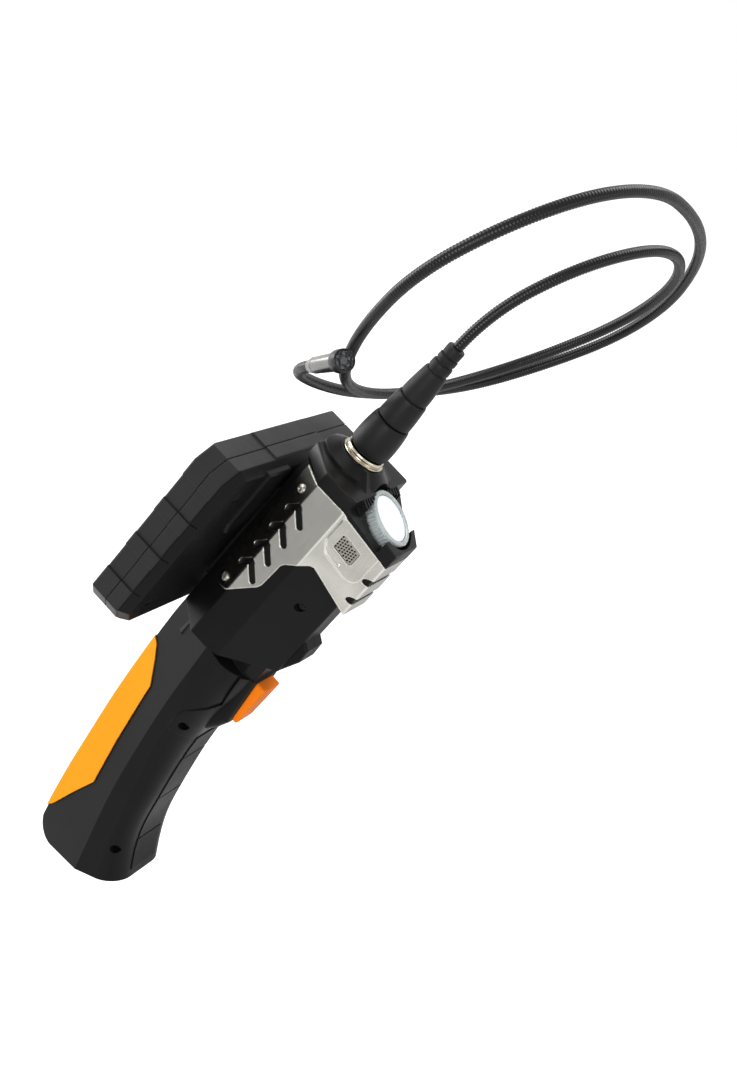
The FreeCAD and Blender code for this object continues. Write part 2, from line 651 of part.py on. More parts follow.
def make_bezel():
    """Black front plate with the socket's boss, the fairing and the lamp's seat."""
    front = UPPER_FRONT + STEEL + 2
    fall = (SHROUD_TOP - SHROUD_TOP_FRONT) / (UPPER_FRONT - HEAD_SIDE_FRONT)
    bottom = SHROUD_TOP - fall * (front - HEAD_SIDE_FRONT) + FIT
    block = prism(mirrored(upper_half(STEEL)), 60, 100)
    profile = slab([(HEAD_BACK - 2, SHROUD_TOP + FIT), (HEAD_SIDE_FRONT, SHROUD_TOP + FIT), (front, bottom),
                    (front, BEZEL_TOP - bezel_slope() * (front - BEZEL_BREAK_Y)),
                    (BEZEL_BREAK_Y, BEZEL_TOP), (HEAD_BACK - 2, BEZEL_TOP)], HEAD_HALF + 5)
    body = rounded(block.common(profile), BEZEL_EDGE_R, lambda e: upright(e) or on_bezel_top(e))
    boss = cyl(BOSS_BASE_R, 1.4, (0, SOCKET_Y, BEZEL_TOP - 0.4)).fuse(
        Part.makeCone(BOSS_BASE_R, BOSS_TOP_R, BOSS_TOP - BEZEL_TOP - 1, V(0, SOCKET_Y, BEZEL_TOP + 1)))
    body = body.fuse([boss.common(block), make_cowl()])
    body = body.cut(lamp_cylinder(LAMP_R + LAMP_MOAT, 20, LAMP_COLLAR + 0.4))
    body = body.fuse(lamp_ribs())
    body = body.cut(lamp_cylinder(LAMP_BODY_R + FIT, 20, 40))
    body = body.cut(cyl(COLLAR_R - 1.2 + FIT, 40, (0, SOCKET_Y, 70)))
    save("front_bezel", body)


def make_cowl():
    """Fairing that falls from the socket's ring to the lamp's rim."""
    across = plate([(COWL_BASE_HALF, BEZEL_TOP - 1), (COWL_BASE_HALF, BEZEL_TOP), (COWL_TOP_HALF, BOSS_TOP),
                    (-COWL_TOP_HALF, BOSS_TOP), (-COWL_BASE_HALF, BEZEL_TOP), (-COWL_BASE_HALF, BEZEL_TOP - 1)],
                   SOCKET_Y, LAMP_Y)
    tilt = math.tan(math.radians(LAMP_TILT))
    rim_y = LAMP_Y - LAMP_R
    rim_z = LAMP_RIM_Z + LAMP_R * tilt
    side = slab([(SOCKET_Y, BOSS_TOP), (COWL_TOP_FRONT, BOSS_TOP), (rim_y, rim_z + 0.6),
                 (rim_y + 3, BEZEL_TOP - 1), (SOCKET_Y, BEZEL_TOP - 1)], HEAD_HALF)
    return across.common(side)


def lamp_ribs():
    """Ribs of the bezel behind the lamp's collar, fanned round the lamp's axis."""
    ribs = []
    low, high = -LAMP_COLLAR - 0.6, -1.4
    for i in range(LAMP_RIBS):
        rib = box(-RIB_THICK / 2, RIB_THICK / 2, -LAMP_R - LAMP_MOAT - 0.6, -LAMP_R - RUNNING, low, high)
        rib.rotate(V(0, 0, 0), V(0, 0, 1), RIB_SWEEP * (i / (LAMP_RIBS - 1) - 0.5))
        rib.rotate(V(0, 0, 0), V(1, 0, 0), -LAMP_TILT)
        rib.translate(V(0, LAMP_Y, LAMP_RIM_Z))
        ribs.append(rib)
    return ribs


def make_socket():
    """Chassis socket: black insert, nickel collar, and its back nut."""
    insert = cyl(COLLAR_R - 1.2, 22, (0, SOCKET_Y, COLLAR_TOP - 24))
    insert = insert.cut(cyl(THREAD_R, 7, (0, SOCKET_Y, COLLAR_TOP - 5)))
    save("socket_insert", insert)
    collar = cyl(COLLAR_R, COLLAR_TOP - BOSS_TOP - FIT, (0, SOCKET_Y, BOSS_TOP + FIT))
    flange = cyl(COLLAR_R + 1.0, 0.9, (0, SOCKET_Y, BOSS_TOP + FIT))
    bore = cyl(COLLAR_R - 1.2 + FIT, 20, (0, SOCKET_Y, BOSS_TOP - 5))
    save("socket_collar", collar.fuse(flange).cut(bore))


def make_lamp():
    """Work lamp: black body, clear collar, lens and its light board."""
    axis = lamp_axis()
    rim = V(0, LAMP_Y, LAMP_RIM_Z)
    body = Part.makeCylinder(LAMP_BODY_R, LAMP_DEPTH - LAMP_COLLAR, rim - axis * LAMP_DEPTH, axis)
    hollow = LAMP_DEPTH - LAMP_COLLAR - 2
    pocket = Part.makeCylinder(LAMP_BODY_R - 1.6, hollow, rim - axis * (LAMP_DEPTH - 2), axis)
    save("lamp_body", body.cut(pocket))
    collar = Part.makeCylinder(LAMP_R, LAMP_COLLAR, rim - axis * LAMP_COLLAR, axis)
    collar = rounded(collar, 0.7, lambda e: (e.CenterOfMass - rim).dot(axis) > -0.1)
    collar = collar.cut(Part.makeCylinder(LAMP_R - 1.5, LAMP_COLLAR + 2, rim - axis * (LAMP_COLLAR - 1), axis))
    collar = collar.cut(Part.makeCylinder(LAMP_BODY_R - 1.4, 3, rim - axis * (LAMP_COLLAR + 1), axis))
    save("lamp_collar", collar)
    lens = Part.makeCylinder(LAMP_R - 1.5 - FIT, 2.0, rim - axis * 2.4, axis)
    save("lamp_lens", rounded(lens, 0.5, lambda e: (e.CenterOfMass - rim).dot(axis) > -0.5))
    board = Part.makeCylinder(LAMP_BODY_R - 1.8, 1.2, rim - axis * (LAMP_DEPTH - 2.2), axis)
    led = Part.makeCylinder(2.5, 1.4, rim - axis * (LAMP_DEPTH - 3.4), axis)
    save("lamp_board", board.fuse(led))


# ---------------------------------------------------------------- probe
def revolve(profile, y):
    """Solid of revolution of (radius, height) points about the socket's axis."""
    points = [V(0, y, profile[0][1])] + [V(r, y, z) for r, z in profile] + [V(0, y, profile[-1][1])]
    wire = Part.makePolygon(points + points[:1])
    return Part.Face(wire).revolve(V(0, y, 0), V(0, 0, 1), 360)


def make_plug():
    """Coupling nut, plug sleeve, boot and tail of the probe."""
    nut = revolve([(NUT_R - 0.8, PLUG_LOW), (NUT_R, PLUG_LOW + 1.2), (NUT_R, PLUG_LOW + 6),
                   (NUT_TOP_R + 0.2, NUT_TOP - 0.6), (NUT_TOP_R - 0.3, NUT_TOP)], SOCKET_Y)
    nut = nut.cut(cyl(5.2 + RUNNING, 30, (0, SOCKET_Y, PLUG_LOW - 5)))
    save("coupling_nut", nut)
    core = revolve([(THREAD_R - 1.2, COLLAR_TOP - 4.2), (THREAD_R - 1.2, PLUG_LOW + 1), (5.2, PLUG_LOW + 1),
                    (5.2, NUT_TOP + 0.3), (SLEEVE_R[0], NUT_TOP + 0.3), (SLEEVE_R[0], NUT_TOP + 3),
                    (SLEEVE_R[1], SLEEVE_TOP)], SOCKET_Y)
    save("plug_body", core)
    boot = revolve([(SLEEVE_R[1] - 0.5, SLEEVE_TOP), (SLEEVE_R[1] - 0.5, SLEEVE_TOP + 0.5),
                    (BOOT_R[0], SLEEVE_TOP + 0.5), (BOOT_R[1], BOOT_TOP), (BOOT_R[1] - 0.5, BOOT_TOP),
                    (BOOT_R[1] - 0.5, BOOT_TOP + 0.6), (4.2, BOOT_TOP + 0.6), (3.9, BOOT_TOP + 4.2),
                    (3.2, BOOT_TOP + 4.2), (3.2, BOOT_TOP + 4.9), (3.8, BOOT_TOP + 4.9), (3.6, BOOT_TOP + 7.2)],
                   SOCKET_Y)
    save("cable_boot", boot)
    tail = revolve([(2.9, BOOT_TOP + 7.2), (2.9, BOOT_TOP + 7.7), (TAIL_R, BOOT_TOP + 7.7), (TAIL_R, TAIL_TOP)],
                   SOCKET_Y)
    save("tail_ferrule", tail)


def arc_path(points):
    """Straight runs joined by tangent arcs; prints each arc's radius."""
    edges, radii = [], []
    last = points[0]
    for before, here, after in zip(points, points[1:], points[2:]):
        d1 = (here - before)
        d2 = (after - here)
        run = min(d1.Length, d2.Length)
        d1.normalize()
        d2.normalize()
        half = math.acos(max(-1, min(1, d1.dot(d2)))) / 2
        cut = 0.45 * run
        radii.append(cut / math.tan(half))
        start, end = here - d1 * cut, here + d2 * cut
        inward = d2 - d1
        inward.normalize()
        centre = here + inward * math.hypot(radii[-1], cut)
        toward = here - centre
        toward.normalize()
        edges.append(Part.LineSegment(last, start).toShape())
        edges.append(Part.Arc(start, centre + toward * radii[-1], end).toShape())
        last = end
    edges.append(Part.LineSegment(last, points[-1]).toShape())
    print("arc radii", " ".join("%.1f" % r for r in radii))
    return Part.Wire(edges)


def make_gooseneck():
    """Gooseneck tube and the camera on its end."""
    points = [V(*p) for p in ROUTE]
    path = arc_path(points)
    first = points[1] - points[0]
    ring = Part.Wire(Part.makeCircle(NECK_D / 2, points[0], first))
    tube = path.makePipeShell([ring], True, False)
    expected = math.pi * NECK_D ** 2 / 4 * path.Length
    print("gooseneck length %.1f mm, volume ratio %.4f" % (path.Length, tube.Volume / expected))
    save("gooseneck", tube)
    tip = points[-1]
    axis = points[-1] - points[-2]
    axis.normalize()
    make_camera(tip, axis)


def make_camera(tip, axis):
    """Camera barrel, its window and the lights round the lens."""
    r = BARREL_D / 2
    profile = [(NECK_D / 2 + 0.5, 0), (r - 0.5, 3.0), (r - 0.5, 3.6), (r, 4.0), (r, BARREL_LENGTH - 0.5),
               (r - 0.4, BARREL_LENGTH)]
    points = [V(0, 0, 0)] + [V(a, 0, z) for a, z in profile] + [V(0, 0, BARREL_LENGTH)]
    barrel = Part.Face(Part.makePolygon(points + points[:1])).revolve(V(0, 0, 0), V(0, 0, 1), 360)
    barrel = barrel.cut(cyl(r - 0.8, 4, (0, 0, BARREL_LENGTH - 2.6)))
    lens = cyl(1.3, 1.6, (0, 0, BARREL_LENGTH - 2.6 + 0.01))
    lights = []
    for i in range(6):
        angle = math.radians(60 * i)
        lights.append(cyl(0.55, 0.9, (2.35 * math.cos(angle), 2.35 * math.sin(angle), BARREL_LENGTH - 2.59)))
    window = cyl(r - 0.8 - 0.05, 0.7, (0, 0, BARREL_LENGTH - 0.9))
    turn = FreeCAD.Rotation(V(0, 0, 1), axis)
    place = FreeCAD.Placement(tip, turn)
    for name, shape in (("camera_barrel", barrel), ("camera_lens", lens),
                        ("camera_lights", Part.makeCompound(lights)), ("camera_window", window)):
        moved = shape.copy()
        moved.Placement = place.multiply(moved.Placement)
        save(name, moved)


# ---------------------------------------------------------------- dock and display
def make_dock():
    """Dock plate on the head's back, with two hooked lugs."""
    face_y = HEAD_BACK
    body = box(-HEAD_BACK_HALF + 1, HEAD_BACK_HALF - 1, face_y - DOCK_THICK, face_y, 20, 66)
    for z in LUG_Z:
        back = face_y - DOCK_THICK
        body = body.fuse(box(-LUG_NECK_HALF, LUG_NECK_HALF, back - LUG_NECK_LENGTH, back, z, z + LUG_TALL))
        body = body.fuse(box(-LUG_HEAD_HALF, LUG_HEAD_HALF, back - LUG_NECK_LENGTH - LUG_HEAD_THICK,
                             back - LUG_NECK_LENGTH, z, z + LUG_TALL))
    save("dock_plate", body)


def octagon(width, height, chamfer, inset=0.0, low=0.0):
    """XZ outline of the display, corners cut, drawn in by inset."""
    w = width / 2 - inset
    c = chamfer - inset * (2 - math.sqrt(2))
    z0, z1 = low + inset, low + height - inset
    return [(w, z0 + c), (w, z1 - c), (w - c, z1), (-w + c, z1), (-w, z1 - c), (-w, z0 + c), (-w + c, z0),
            (w - c, z0)]


def display_outline(inset=0.0):
    """Outline of the display at a depth inside its wall."""
    return octagon(DISPLAY_W, DISPLAY_H, DISPLAY_CHAMFER, inset)


def display_screw_places():
    """Places of the four cover screws in the corners of the display."""
    x = DISPLAY_W / 2 - DISPLAY_SCREW_SIDE
    low, high = DISPLAY_SCREW_END, DISPLAY_H - DISPLAY_SCREW_END
    return [(-x, low), (-x, high), (x, low), (x, high)]


def rim_rounded(shape, y0, y1):
    """The same plate with its outer rims rounded at both faces."""
    return rounded(shape, BUMPER_EDGE_R,
                   lambda e: min(abs(e.CenterOfMass.y - y0), abs(e.CenterOfMass.y - y1)) < 0.01)


def make_bumper():
    """Rubber bumper round the display, with its stepped pads, grooves and crease."""
    y0, y1 = DISPLAY_FRONT, DISPLAY_FRONT + DISPLAY_WALL - 0.05
    half, top = DISPLAY_W / 2, DISPLAY_H
    full = rim_rounded(plate(display_outline(), y0, y1), y0, y1)
    ring = rim_rounded(plate(display_outline(BUMPER_STEP), y0, y1), y0, y1)
    bands = [(BUMPER_STEP, GROOVE_Z)]
    bands += [(GROOVE_Z + (i + 1) * PAD_PITCH - PAD_RAISED, GROOVE_Z + (i + 1) * PAD_PITCH) for i in range(2)]
    bands.append((GROOVE_Z + 3 * PAD_PITCH - PAD_RAISED, top - BUMPER_STEP))
    proud = [box(-60, 60, y0 - 1, y1 + 1, low, high) for low, high in bands]
    proud += [box(-PAD_HALF, PAD_HALF, y0 - 1, y1 + 1, low, high)
              for low, high in ((-1, 5), (top - 5, top + 1))]
    ring = ring.fuse([full.common(p) for p in proud]).cut(plate(display_outline(BUMPER), y0 - 1, y1 + 1))
    floor = half - BUMPER_STEP - GROOVE_DEEP
    for i in range(3):
        z = GROOVE_Z + i * PAD_PITCH
        line = box(floor, half + 1, y0 - 1, y1 + 1, z - GROOVE_WIDTH / 2, z + GROOVE_WIDTH / 2)
        ring = ring.cut(line).cut(mirror_x(line))
    crease = y0 + BUMPER_CREASE
    belt = plate(display_outline(-1), crease - GROOVE_WIDTH / 2, crease + GROOVE_WIDTH / 2)
    ring = ring.cut(belt.cut(plate(display_outline(BUMPER_STEP + GROOVE_DEEP), y0, y1)))
    save("bumper", ring)


def make_display_shells():
    """Screen frame and back cover of the display."""
    inset = BUMPER + FIT
    y_split = DISPLAY_FRONT + 7.0
    frame = plate(display_outline(inset), DISPLAY_FRONT + 0.6, y_split)
    frame = frame.cut(plate(display_outline(inset + 2.0), DISPLAY_FRONT + 2.6, y_split + 1))
    mid = DISPLAY_H / 2
    window = box(SCREEN_X - SCREEN_W / 2, SCREEN_X + SCREEN_W / 2, DISPLAY_FRONT - 1, DISPLAY_FRONT + 5,
                 mid - SCREEN_H / 2, mid + SCREEN_H / 2)
    frame = frame.cut(window)
    for z in key_heights():
        frame = frame.cut(box(KEY_X - KEY_W / 2 - RUNNING, KEY_X + KEY_W / 2 + RUNNING, DISPLAY_FRONT - 1,
                              DISPLAY_FRONT + 4, z - KEY_H / 2 - RUNNING, z + KEY_H / 2 + RUNNING))
    save("screen_frame", frame)
    wall_end = DISPLAY_FRONT + DISPLAY_WALL
    low = [V(x, wall_end, z) for x, z in display_outline(COVER_RIM)]
    high = [V(x, DISPLAY_BACK, z) for x, z in display_outline(COVER_FLAT)]
    bevel = Part.makeLoft([Part.makePolygon(low + low[:1]), Part.makePolygon(high + high[:1])], True, True)
    cover = plate(display_outline(inset), y_split + FIT, wall_end).fuse(bevel)
    ear = plate([(x, DISPLAY_H - down) for x, down in EAR], DISPLAY_BACK - 1, DISPLAY_BACK + EAR_HIGH)
    ear = rounded(ear, EAR_HIGH * 0.8, lambda e: e.CenterOfMass.y > DISPLAY_BACK + EAR_HIGH - 0.01)
    cover = cover.fuse([ear, mirror_x(ear)])
    hollow = plate(display_outline(inset + 2.0), y_split - 1, DISPLAY_BACK - 4.8)
    cover = cover.cut(hollow)
    for i in range(3):
        z = GROOVE_Z + i * PAD_PITCH
        tick = box(DISPLAY_W / 2 - TICK_REACH, DISPLAY_W, wall_end - 1, wall_end + 2.7, z - GROOVE_WIDTH / 2,
                   z + GROOVE_WIDTH / 2)
        cover = cover.cut(tick).cut(mirror_x(tick))
    head_y = HEAD_BACK - DOCK_THICK - LUG_NECK_LENGTH
    for z in LUG_Z:
        low_z = z - DOCK_LIFT - RUNNING
        pocket = box(-LUG_HEAD_HALF - RUNNING, LUG_HEAD_HALF + RUNNING, head_y - LUG_HEAD_THICK - RUNNING,
                     head_y + RUNNING, low_z, z + LUG_TALL + 0.05)
        entry = box(-LUG_HEAD_HALF - RUNNING, LUG_HEAD_HALF + RUNNING, head_y - 0.1, DISPLAY_BACK + 1,
                    low_z, z - DOCK_LIFT + LUG_TALL + RUNNING)
        throat = box(-LUG_NECK_HALF - RUNNING, LUG_NECK_HALF + RUNNING, head_y - 0.1, DISPLAY_BACK + 1,
                     low_z, z + LUG_TALL + 0.05)
        cover = cover.cut(pocket.fuse(entry).fuse(throat))
    for x, z in display_screw_places():
        post = cyl(3.4, 6.0, (x, DISPLAY_BACK - 8.0, z), (0, 1, 0))
        cover = cover.fuse(post).cut(cyl(2.4, 5, (x, DISPLAY_BACK - 1.6, z), (0, 1, 0)))
        cover = cover.cut(cyl(1.2, 20, (x, DISPLAY_BACK - 15, z), (0, 1, 0)))
    save("back_cover", cover)


def key_heights():
    """Heights of the display's keys, top to bottom."""
    mid = DISPLAY_H / 2
    return [mid + (i - (KEY_COUNT - 1) / 2) * KEY_PITCH for i in reversed(range(KEY_COUNT))]


def make_screen():
    """Window, panel, board, cell and keys inside the display."""
    mid = DISPLAY_H / 2
    y = DISPLAY_FRONT + 1.0
    w, h = SCREEN_W / 2 - FIT, SCREEN_H / 2 - FIT
    save("screen_window", box(SCREEN_X - w, SCREEN_X + w, y, y + 1.2, mid - h, mid + h))
    save("screen_panel", box(SCREEN_X - w - 1, SCREEN_X + w + 1, y + 2.3, y + 5.3, mid - h - 1, mid + h + 1))
    edge = DISPLAY_W / 2 - 9.1
    board = box(-edge, edge, y + 6.8, y + 8.2, 12, DISPLAY_H - 12)
    for x, z in display_screw_places():
        board = board.cut(cyl(1.4, 5, (x, y + 5, z), (0, 1, 0)))
    save("display_board", board)
    low = mid - DISPLAY_CELL_H / 2
    save("display_cell", box(-38, 22, y + 8.6, y + 11.2, low, low + DISPLAY_CELL_H))
    for i, z in enumerate(key_heights()):
        cap = box(KEY_X - KEY_W / 2, KEY_X + KEY_W / 2, DISPLAY_FRONT + 0.6 - KEY_PROUD, DISPLAY_FRONT + 2.6,
                  z - KEY_H / 2, z + KEY_H / 2)
        cap = cap.makeFillet(1.4, [e for e in cap.Edges if abs(e.tangentAt(e.FirstParameter).y) > 0.99])
        flange = box(KEY_X - KEY_W / 2 - 1, KEY_X + KEY_W / 2 + 1, DISPLAY_FRONT + 2.65,
                     DISPLAY_FRONT + 3.6, z - KEY_H / 2 - 1, z + KEY_H / 2 + 1)
        stem = box(KEY_X - 1.5, KEY_X + 1.5, DISPLAY_FRONT + 2.0, DISPLAY_FRONT + 6.6, z - 1.5, z + 1.5)
        save("key_%d" % (i + 1), cap.fuse(stem).fuse(flange))


# ---------------------------------------------------------------- handle
def handle_section(station, inset=0.0):
    """Closed wire of the handle's section at one station: flats, and an arc on each front flank."""
    z, half, back, ridge, side, front, crown = station
    points = grown(((HANDLE_FRONT_HALF, front), (half, side), (half, ridge), (HANDLE_BACK_HALF, back)), -inset)
    loop = [V(x, y, z) for x, y in mirrored(points)]
    edges = [Part.makeLine(a, b) for a, b in zip(loop, loop[1:] + loop[:1])]
    across = V(loop[0].y - loop[1].y, loop[1].x - loop[0].x, 0)
    across.normalize()
    top = (loop[0] + loop[1]) * 0.5 + across * crown
    edges[0] = Part.Arc(loop[0], top, loop[1]).toShape()
    edges[6] = Part.Arc(loop[6], V(-top.x, top.y, z), loop[7]).toShape()
    return Part.Wire(edges)


def handle_body(*insets):
    """Lofted body of the handle, longer than the part at both ends; the last inset is used onwards."""
    steps = list(insets or (0.0,))
    steps += steps[-1:] * (len(HANDLE_STATIONS) - len(steps))
    return Part.makeLoft([handle_section(s, i) for s, i in zip(HANDLE_STATIONS, steps)], True, False)


def handle_ends():
    """Side-view block that trims the handle's top and butt; the heel is rounded."""
    (by, bz), (fy, fz) = BUTT_BACK, BUTT_FRONT
    slope = (fz - bz) / (fy - by)
    block = slab([(-60, HANDLE_TOP), (HANDLE_BREAK_Y, HANDLE_TOP), (20.5, HANDLE_TOP_FRONT),
                  (60, HANDLE_TOP_FRONT), (60, fz + slope * (60 - fy)), (by, bz),
                  (by - 5.7, bz + 19.9), (-60, bz + 30.0)], 40)
    return rounded(block, BUTT_CORNER_R,
                   lambda e: abs(e.CenterOfMass.x) < 1 and (e.CenterOfMass - V(0, by, bz)).Length < 1)


def trigger_block():
    """Block on the finger side that carries the power button, its outer edges rounded."""
    block = slab(TRIGGER_SIDE, TRIGGER_HALF)
    return rounded(block, TRIGGER_EDGE,
                   lambda e: abs(e.CenterOfMass.x) > TRIGGER_HALF - 0.01 and e.CenterOfMass.y > 14.0
                   and e.CenterOfMass.z < 7.9)


def neck_solid(grow=0.0):
    """Neck that carries the head on the handle."""
    return prism(mirrored(grown(NECK_SECTION, grow)), -6, NECK_TOP + grow)


def layer(outline, skin):
    """Part of a skin of the handle inside a side view."""
    return skin.common(slab(outline, 40)).common(slab([(-60, 4), (60, 4), (60, -140), (-60, -140)], 40))


def skin(proud, deep):
    """Skin of the handle from proud of its surface to deep under it."""
    return handle_body(-proud).cut(handle_body(deep))


def finger_outline(grow=0.0):
    """Side view of the finger grip's region."""
    low, high = FINGER_Z
    return [(10, low - grow), (60, low - grow), (60, high + grow), (10, high + grow)]


def finger_layer(proud, deep, grow=0.0):
    """Skin of the finger side, as wide as the soft strip."""
    half = FINGER_HALF + grow
    return layer(finger_outline(grow), skin(proud, deep)).common(box(-half, half, 10, 60, -130, 10))


def palm_outline(grow=0.0):
    """Side view of the palm pad's region."""
    return [(y + (grow if y > -26 else 0), z) for y, z in PALM_EDGE]


def make_pads():
    """Orange palm pad and the grooved finger grip."""
    save("palm_pad", layer(palm_outline(), skin(PAD_PROUD, PAD_DEEP)))
    half = FINGER_GROOVE / 2
    bars = [box(-40, 40, 10, 60, z - half, z + half) for z in FINGER_GROOVES]
    grooves = Part.makeCompound(bars).common(skin(PAD_PROUD + 1, FINGER_GROOVE - PAD_PROUD))
    save("finger_grip", finger_layer(PAD_PROUD, PAD_DEEP).cut(grooves))


def cell_frame(side, index):
    """Base point and direction of one cell, counted from the top of its column."""
    lean = math.radians(CELL_LEAN)
    down = V(0, math.sin(lean), -math.cos(lean))
    top = V(side * (CELL_R + CELL_GAP / 2), CELL_TOP[0], CELL_TOP[1])
    return top + down * (index * (CELL_LENGTH + 0.2)), down


def make_cells():
    """Four round cells and the contact board over them."""
    cells = []
    for side in (-1, 1):
        for index in (0, 1):
            base, down = cell_frame(side, index)
            body = Part.makeCylinder(CELL_R, CELL_LENGTH - 1.2, base + down * 1.2, down)
            cells.append(body.fuse(Part.makeCylinder(2.7, 1.2, base, down)))
    save("battery_cells", Part.makeCompound(cells))
    base, _ = cell_frame(0, 0)
    board = box(-13.0, 13.0, -6.5, 8.0, 0.2, 1.6)
    board.rotate(V(0, 0, 0), V(1, 0, 0), CELL_LEAN)
    board.translate(base)
    save("contact_board", board)


def bay(grow):
    """Room for the four cells, running out through the butt."""
    lean = math.radians(CELL_LEAN)
    down = V(0, math.sin(lean), -math.cos(lean))
    r = CELL_R + grow
    x = CELL_R + CELL_GAP / 2
    top = V(0, CELL_TOP[0], CELL_TOP[1]) - down * 1.9
    parts = [Part.makeCylinder(r, 140, top + V(s * x, 0, 0), down) for s in (-1, 1)]
    middle = box(-x, x, -r, r, -140, 0)
    middle.rotate(V(0, 0, 0), V(1, 0, 0), CELL_LEAN)
    middle.translate(top)
    return parts[0].fuse([parts[1], middle])


def make_door():
    """Battery door in the butt; it pulls off along the butt's normal."""
    plug = bay(DOOR_LIP + BAY_GAP - FIT).common(butt_block(DOOR_THICK, 0.0)).common(handle_body())
    tongue = bay(BAY_GAP - 0.2).common(butt_block(DOOR_THICK + 1.0, -DOOR_THICK + 0.2))
    save("battery_door", plug.fuse(tongue))


def make_handle():
    """Right and left handle shells."""
    outer = handle_body().fuse(trigger_block()).common(handle_ends())
    inner = handle_body(WALL).common(slab([(-60, HANDLE_TOP - 6), (60, HANDLE_TOP - 6), (60, -140),
                                           (-60, -140)], 40)).cut(butt_block(DOOR_THICK + 2.2))
    raised = handle_body(*[-proud for proud in PANEL_PROUD]).cut(handle_body(PANEL_DEEP))
    panel = layer(PANEL_EDGE, raised).common(handle_ends())
    body = outer.fuse(panel).fuse(neck_solid()).cut(inner)
    half = BUTTON_HALF + RUNNING
    well = box(-half - 1.2, half + 1.2, WELL_FLOOR - WELL_FLOOR_THICK, 20, BUTTON_LOW - RUNNING - 1.4, -2)
    body = body.fuse(well.common(outer))
    pocket = box(-half, half, WELL_FLOOR, 40, BUTTON_LOW - RUNNING, BUTTON_HIGH + RUNNING)
    mid = (BUTTON_LOW + BUTTON_HIGH) / 2
    body = body.cut(pocket).cut(cyl(BUTTON_STEM_R + RUNNING, 20, (0, 5, mid), (0, 1, 0)))
    for screw in HANDLE_SCREWS:
        boss, hole = screw_boss(screw)
        body = body.fuse(boss.common(outer)).cut(hole)
    body = body.cut(cyl(4.0, 30, (0, -4, -8)))
    body = body.cut(layer(palm_outline(FIT), skin(PAD_PROUD + 1, PAD_DEEP + 0.05)))
    body = body.cut(finger_layer(PAD_PROUD + 1, PAD_DEEP + 0.05, FIT))
    body = body.cut(bay(BAY_GAP))
    body = body.cut(bay(DOOR_LIP + BAY_GAP).common(butt_block(DOOR_THICK + FIT)))
    save("handle_right_shell", body.cut(box(-60, FIT / 2, -80, 80, -160, 60)))
    save("handle_left_shell", body.cut(box(-FIT / 2, 60, -80, 80, -160, 60)))


def butt_block(thick, out=10.0):
    """Block along the butt's slanted lower face, from out of it to thick into the handle."""
    (by, bz), (fy, fz) = BUTT_BACK, BUTT_FRONT
    along = V(0, fy - by, fz - bz)
    along.normalize()
    inward = V(0, -along.z, along.y)
    base = V(0, by, bz)
    pts = [base - along * 30 - inward * out, base + along * 80 - inward * out,
           base + along * 80 + inward * thick, base - along * 30 + inward * thick]
    return slab([(p.y, p.z) for p in pts], 60)


# ---------------------------------------------------------------- button
def coil(radius, wire, length, turns, base, axis):
    """Compression spring with its end at a base point."""
    pitch = (length - wire) / turns
    helix = Part.makeHelix(pitch, length - wire, radius)
    ring = Part.Wire(Part.makeCircle(wire / 2, V(radius, 0, 0), V(0, 1, pitch / (2 * math.pi * radius))))
    spring = Part.Wire(helix).makePipeShell([ring], True, True)
    spring.translate(V(0, 0, wire / 2))
    spring.Placement = FreeCAD.Placement(V(*base), FreeCAD.Rotation(V(0, 0, 1), V(*axis))).multiply(
        spring.Placement)
    return spring


def make_button():
    """Power button with its stem, spring and switch."""
    half = BUTTON_HALF
    mid = (BUTTON_LOW + BUTTON_HIGH) / 2
    cap = box(-half, half, BUTTON_BASE, BUTTON_FACE, BUTTON_LOW, BUTTON_HIGH)
    cap = cap.makeFillet(1.4, [e for e in cap.Edges if abs(e.tangentAt(e.FirstParameter).y) > 0.99])
    cap = cap.makeFillet(0.7, [e for e in cap.Edges if e.CenterOfMass.y > BUTTON_FACE - 0.01])
    cap = cap.cut(cyl(3.4, 5.2, (0, BUTTON_BASE, mid), (0, 1, 0)))
    flange_y = WELL_FLOOR - WELL_FLOOR_THICK - 0.05
    stem = cyl(BUTTON_STEM_R, BUTTON_FACE - 1 - flange_y, (0, flange_y, mid), (0, 1, 0))
    flange = cyl(3.0, 1.2, (0, flange_y - 1.2, mid), (0, 1, 0))
    save("power_button", cap.fuse([stem, flange]))
    save("button_spring", coil(SPRING_R, SPRING_WIRE, BUTTON_BASE + 5.2 - WELL_FLOOR - 0.02, SPRING_TURNS,
                               (0, WELL_FLOOR + 0.01, mid), (0, 1, 0)))
    switch_y = flange_y - 1.2 - BUTTON_TRAVEL - 0.1
    board = box(-7, 7, 8.4, 9.4, mid - 7, mid + 7)
    switch = box(-3, 3, 9.4, switch_y - 0.6, mid - 3, mid + 3)
    tip = cyl(1.4, 0.6, (0, switch_y - 0.6, mid), (0, 1, 0))
    save("button_switch", board.fuse([switch, tip]))


def make_main_board():
    """Main board in the head."""
    board = box(-17, 17, -6.0, -4.4, 20, 68)
    chip = box(-6, 6, -4.4, -2.6, 38, 50)
    header = box(-8, 8, -9.5, -6.0, 56, 62)
    save("main_board", board.fuse([chip, header]))


def make_display_screws():
    """Screws in the corners of the display's back cover."""
    screws = []
    for x, z in display_screw_places():
        head = cyl(2.2, 1.2, (x, DISPLAY_BACK - 1.6, z), (0, 1, 0))
        screws.append(head.fuse(cyl(1.1, 9, (x, DISPLAY_BACK - 10.4, z), (0, 1, 0))))
    save("display_screws", Part.makeCompound(screws))


make_head()
make_shroud()
make_mesh()
make_shroud_screws()
make_bezel()
make_socket()
make_lamp()
make_plug()
make_gooseneck()
make_dock()
make_bumper()
make_display_shells()
make_screen()
make_display_screws()
make_handle()
make_pads()
make_cells()
make_door()
make_button()
make_case_screws()
make_main_board()

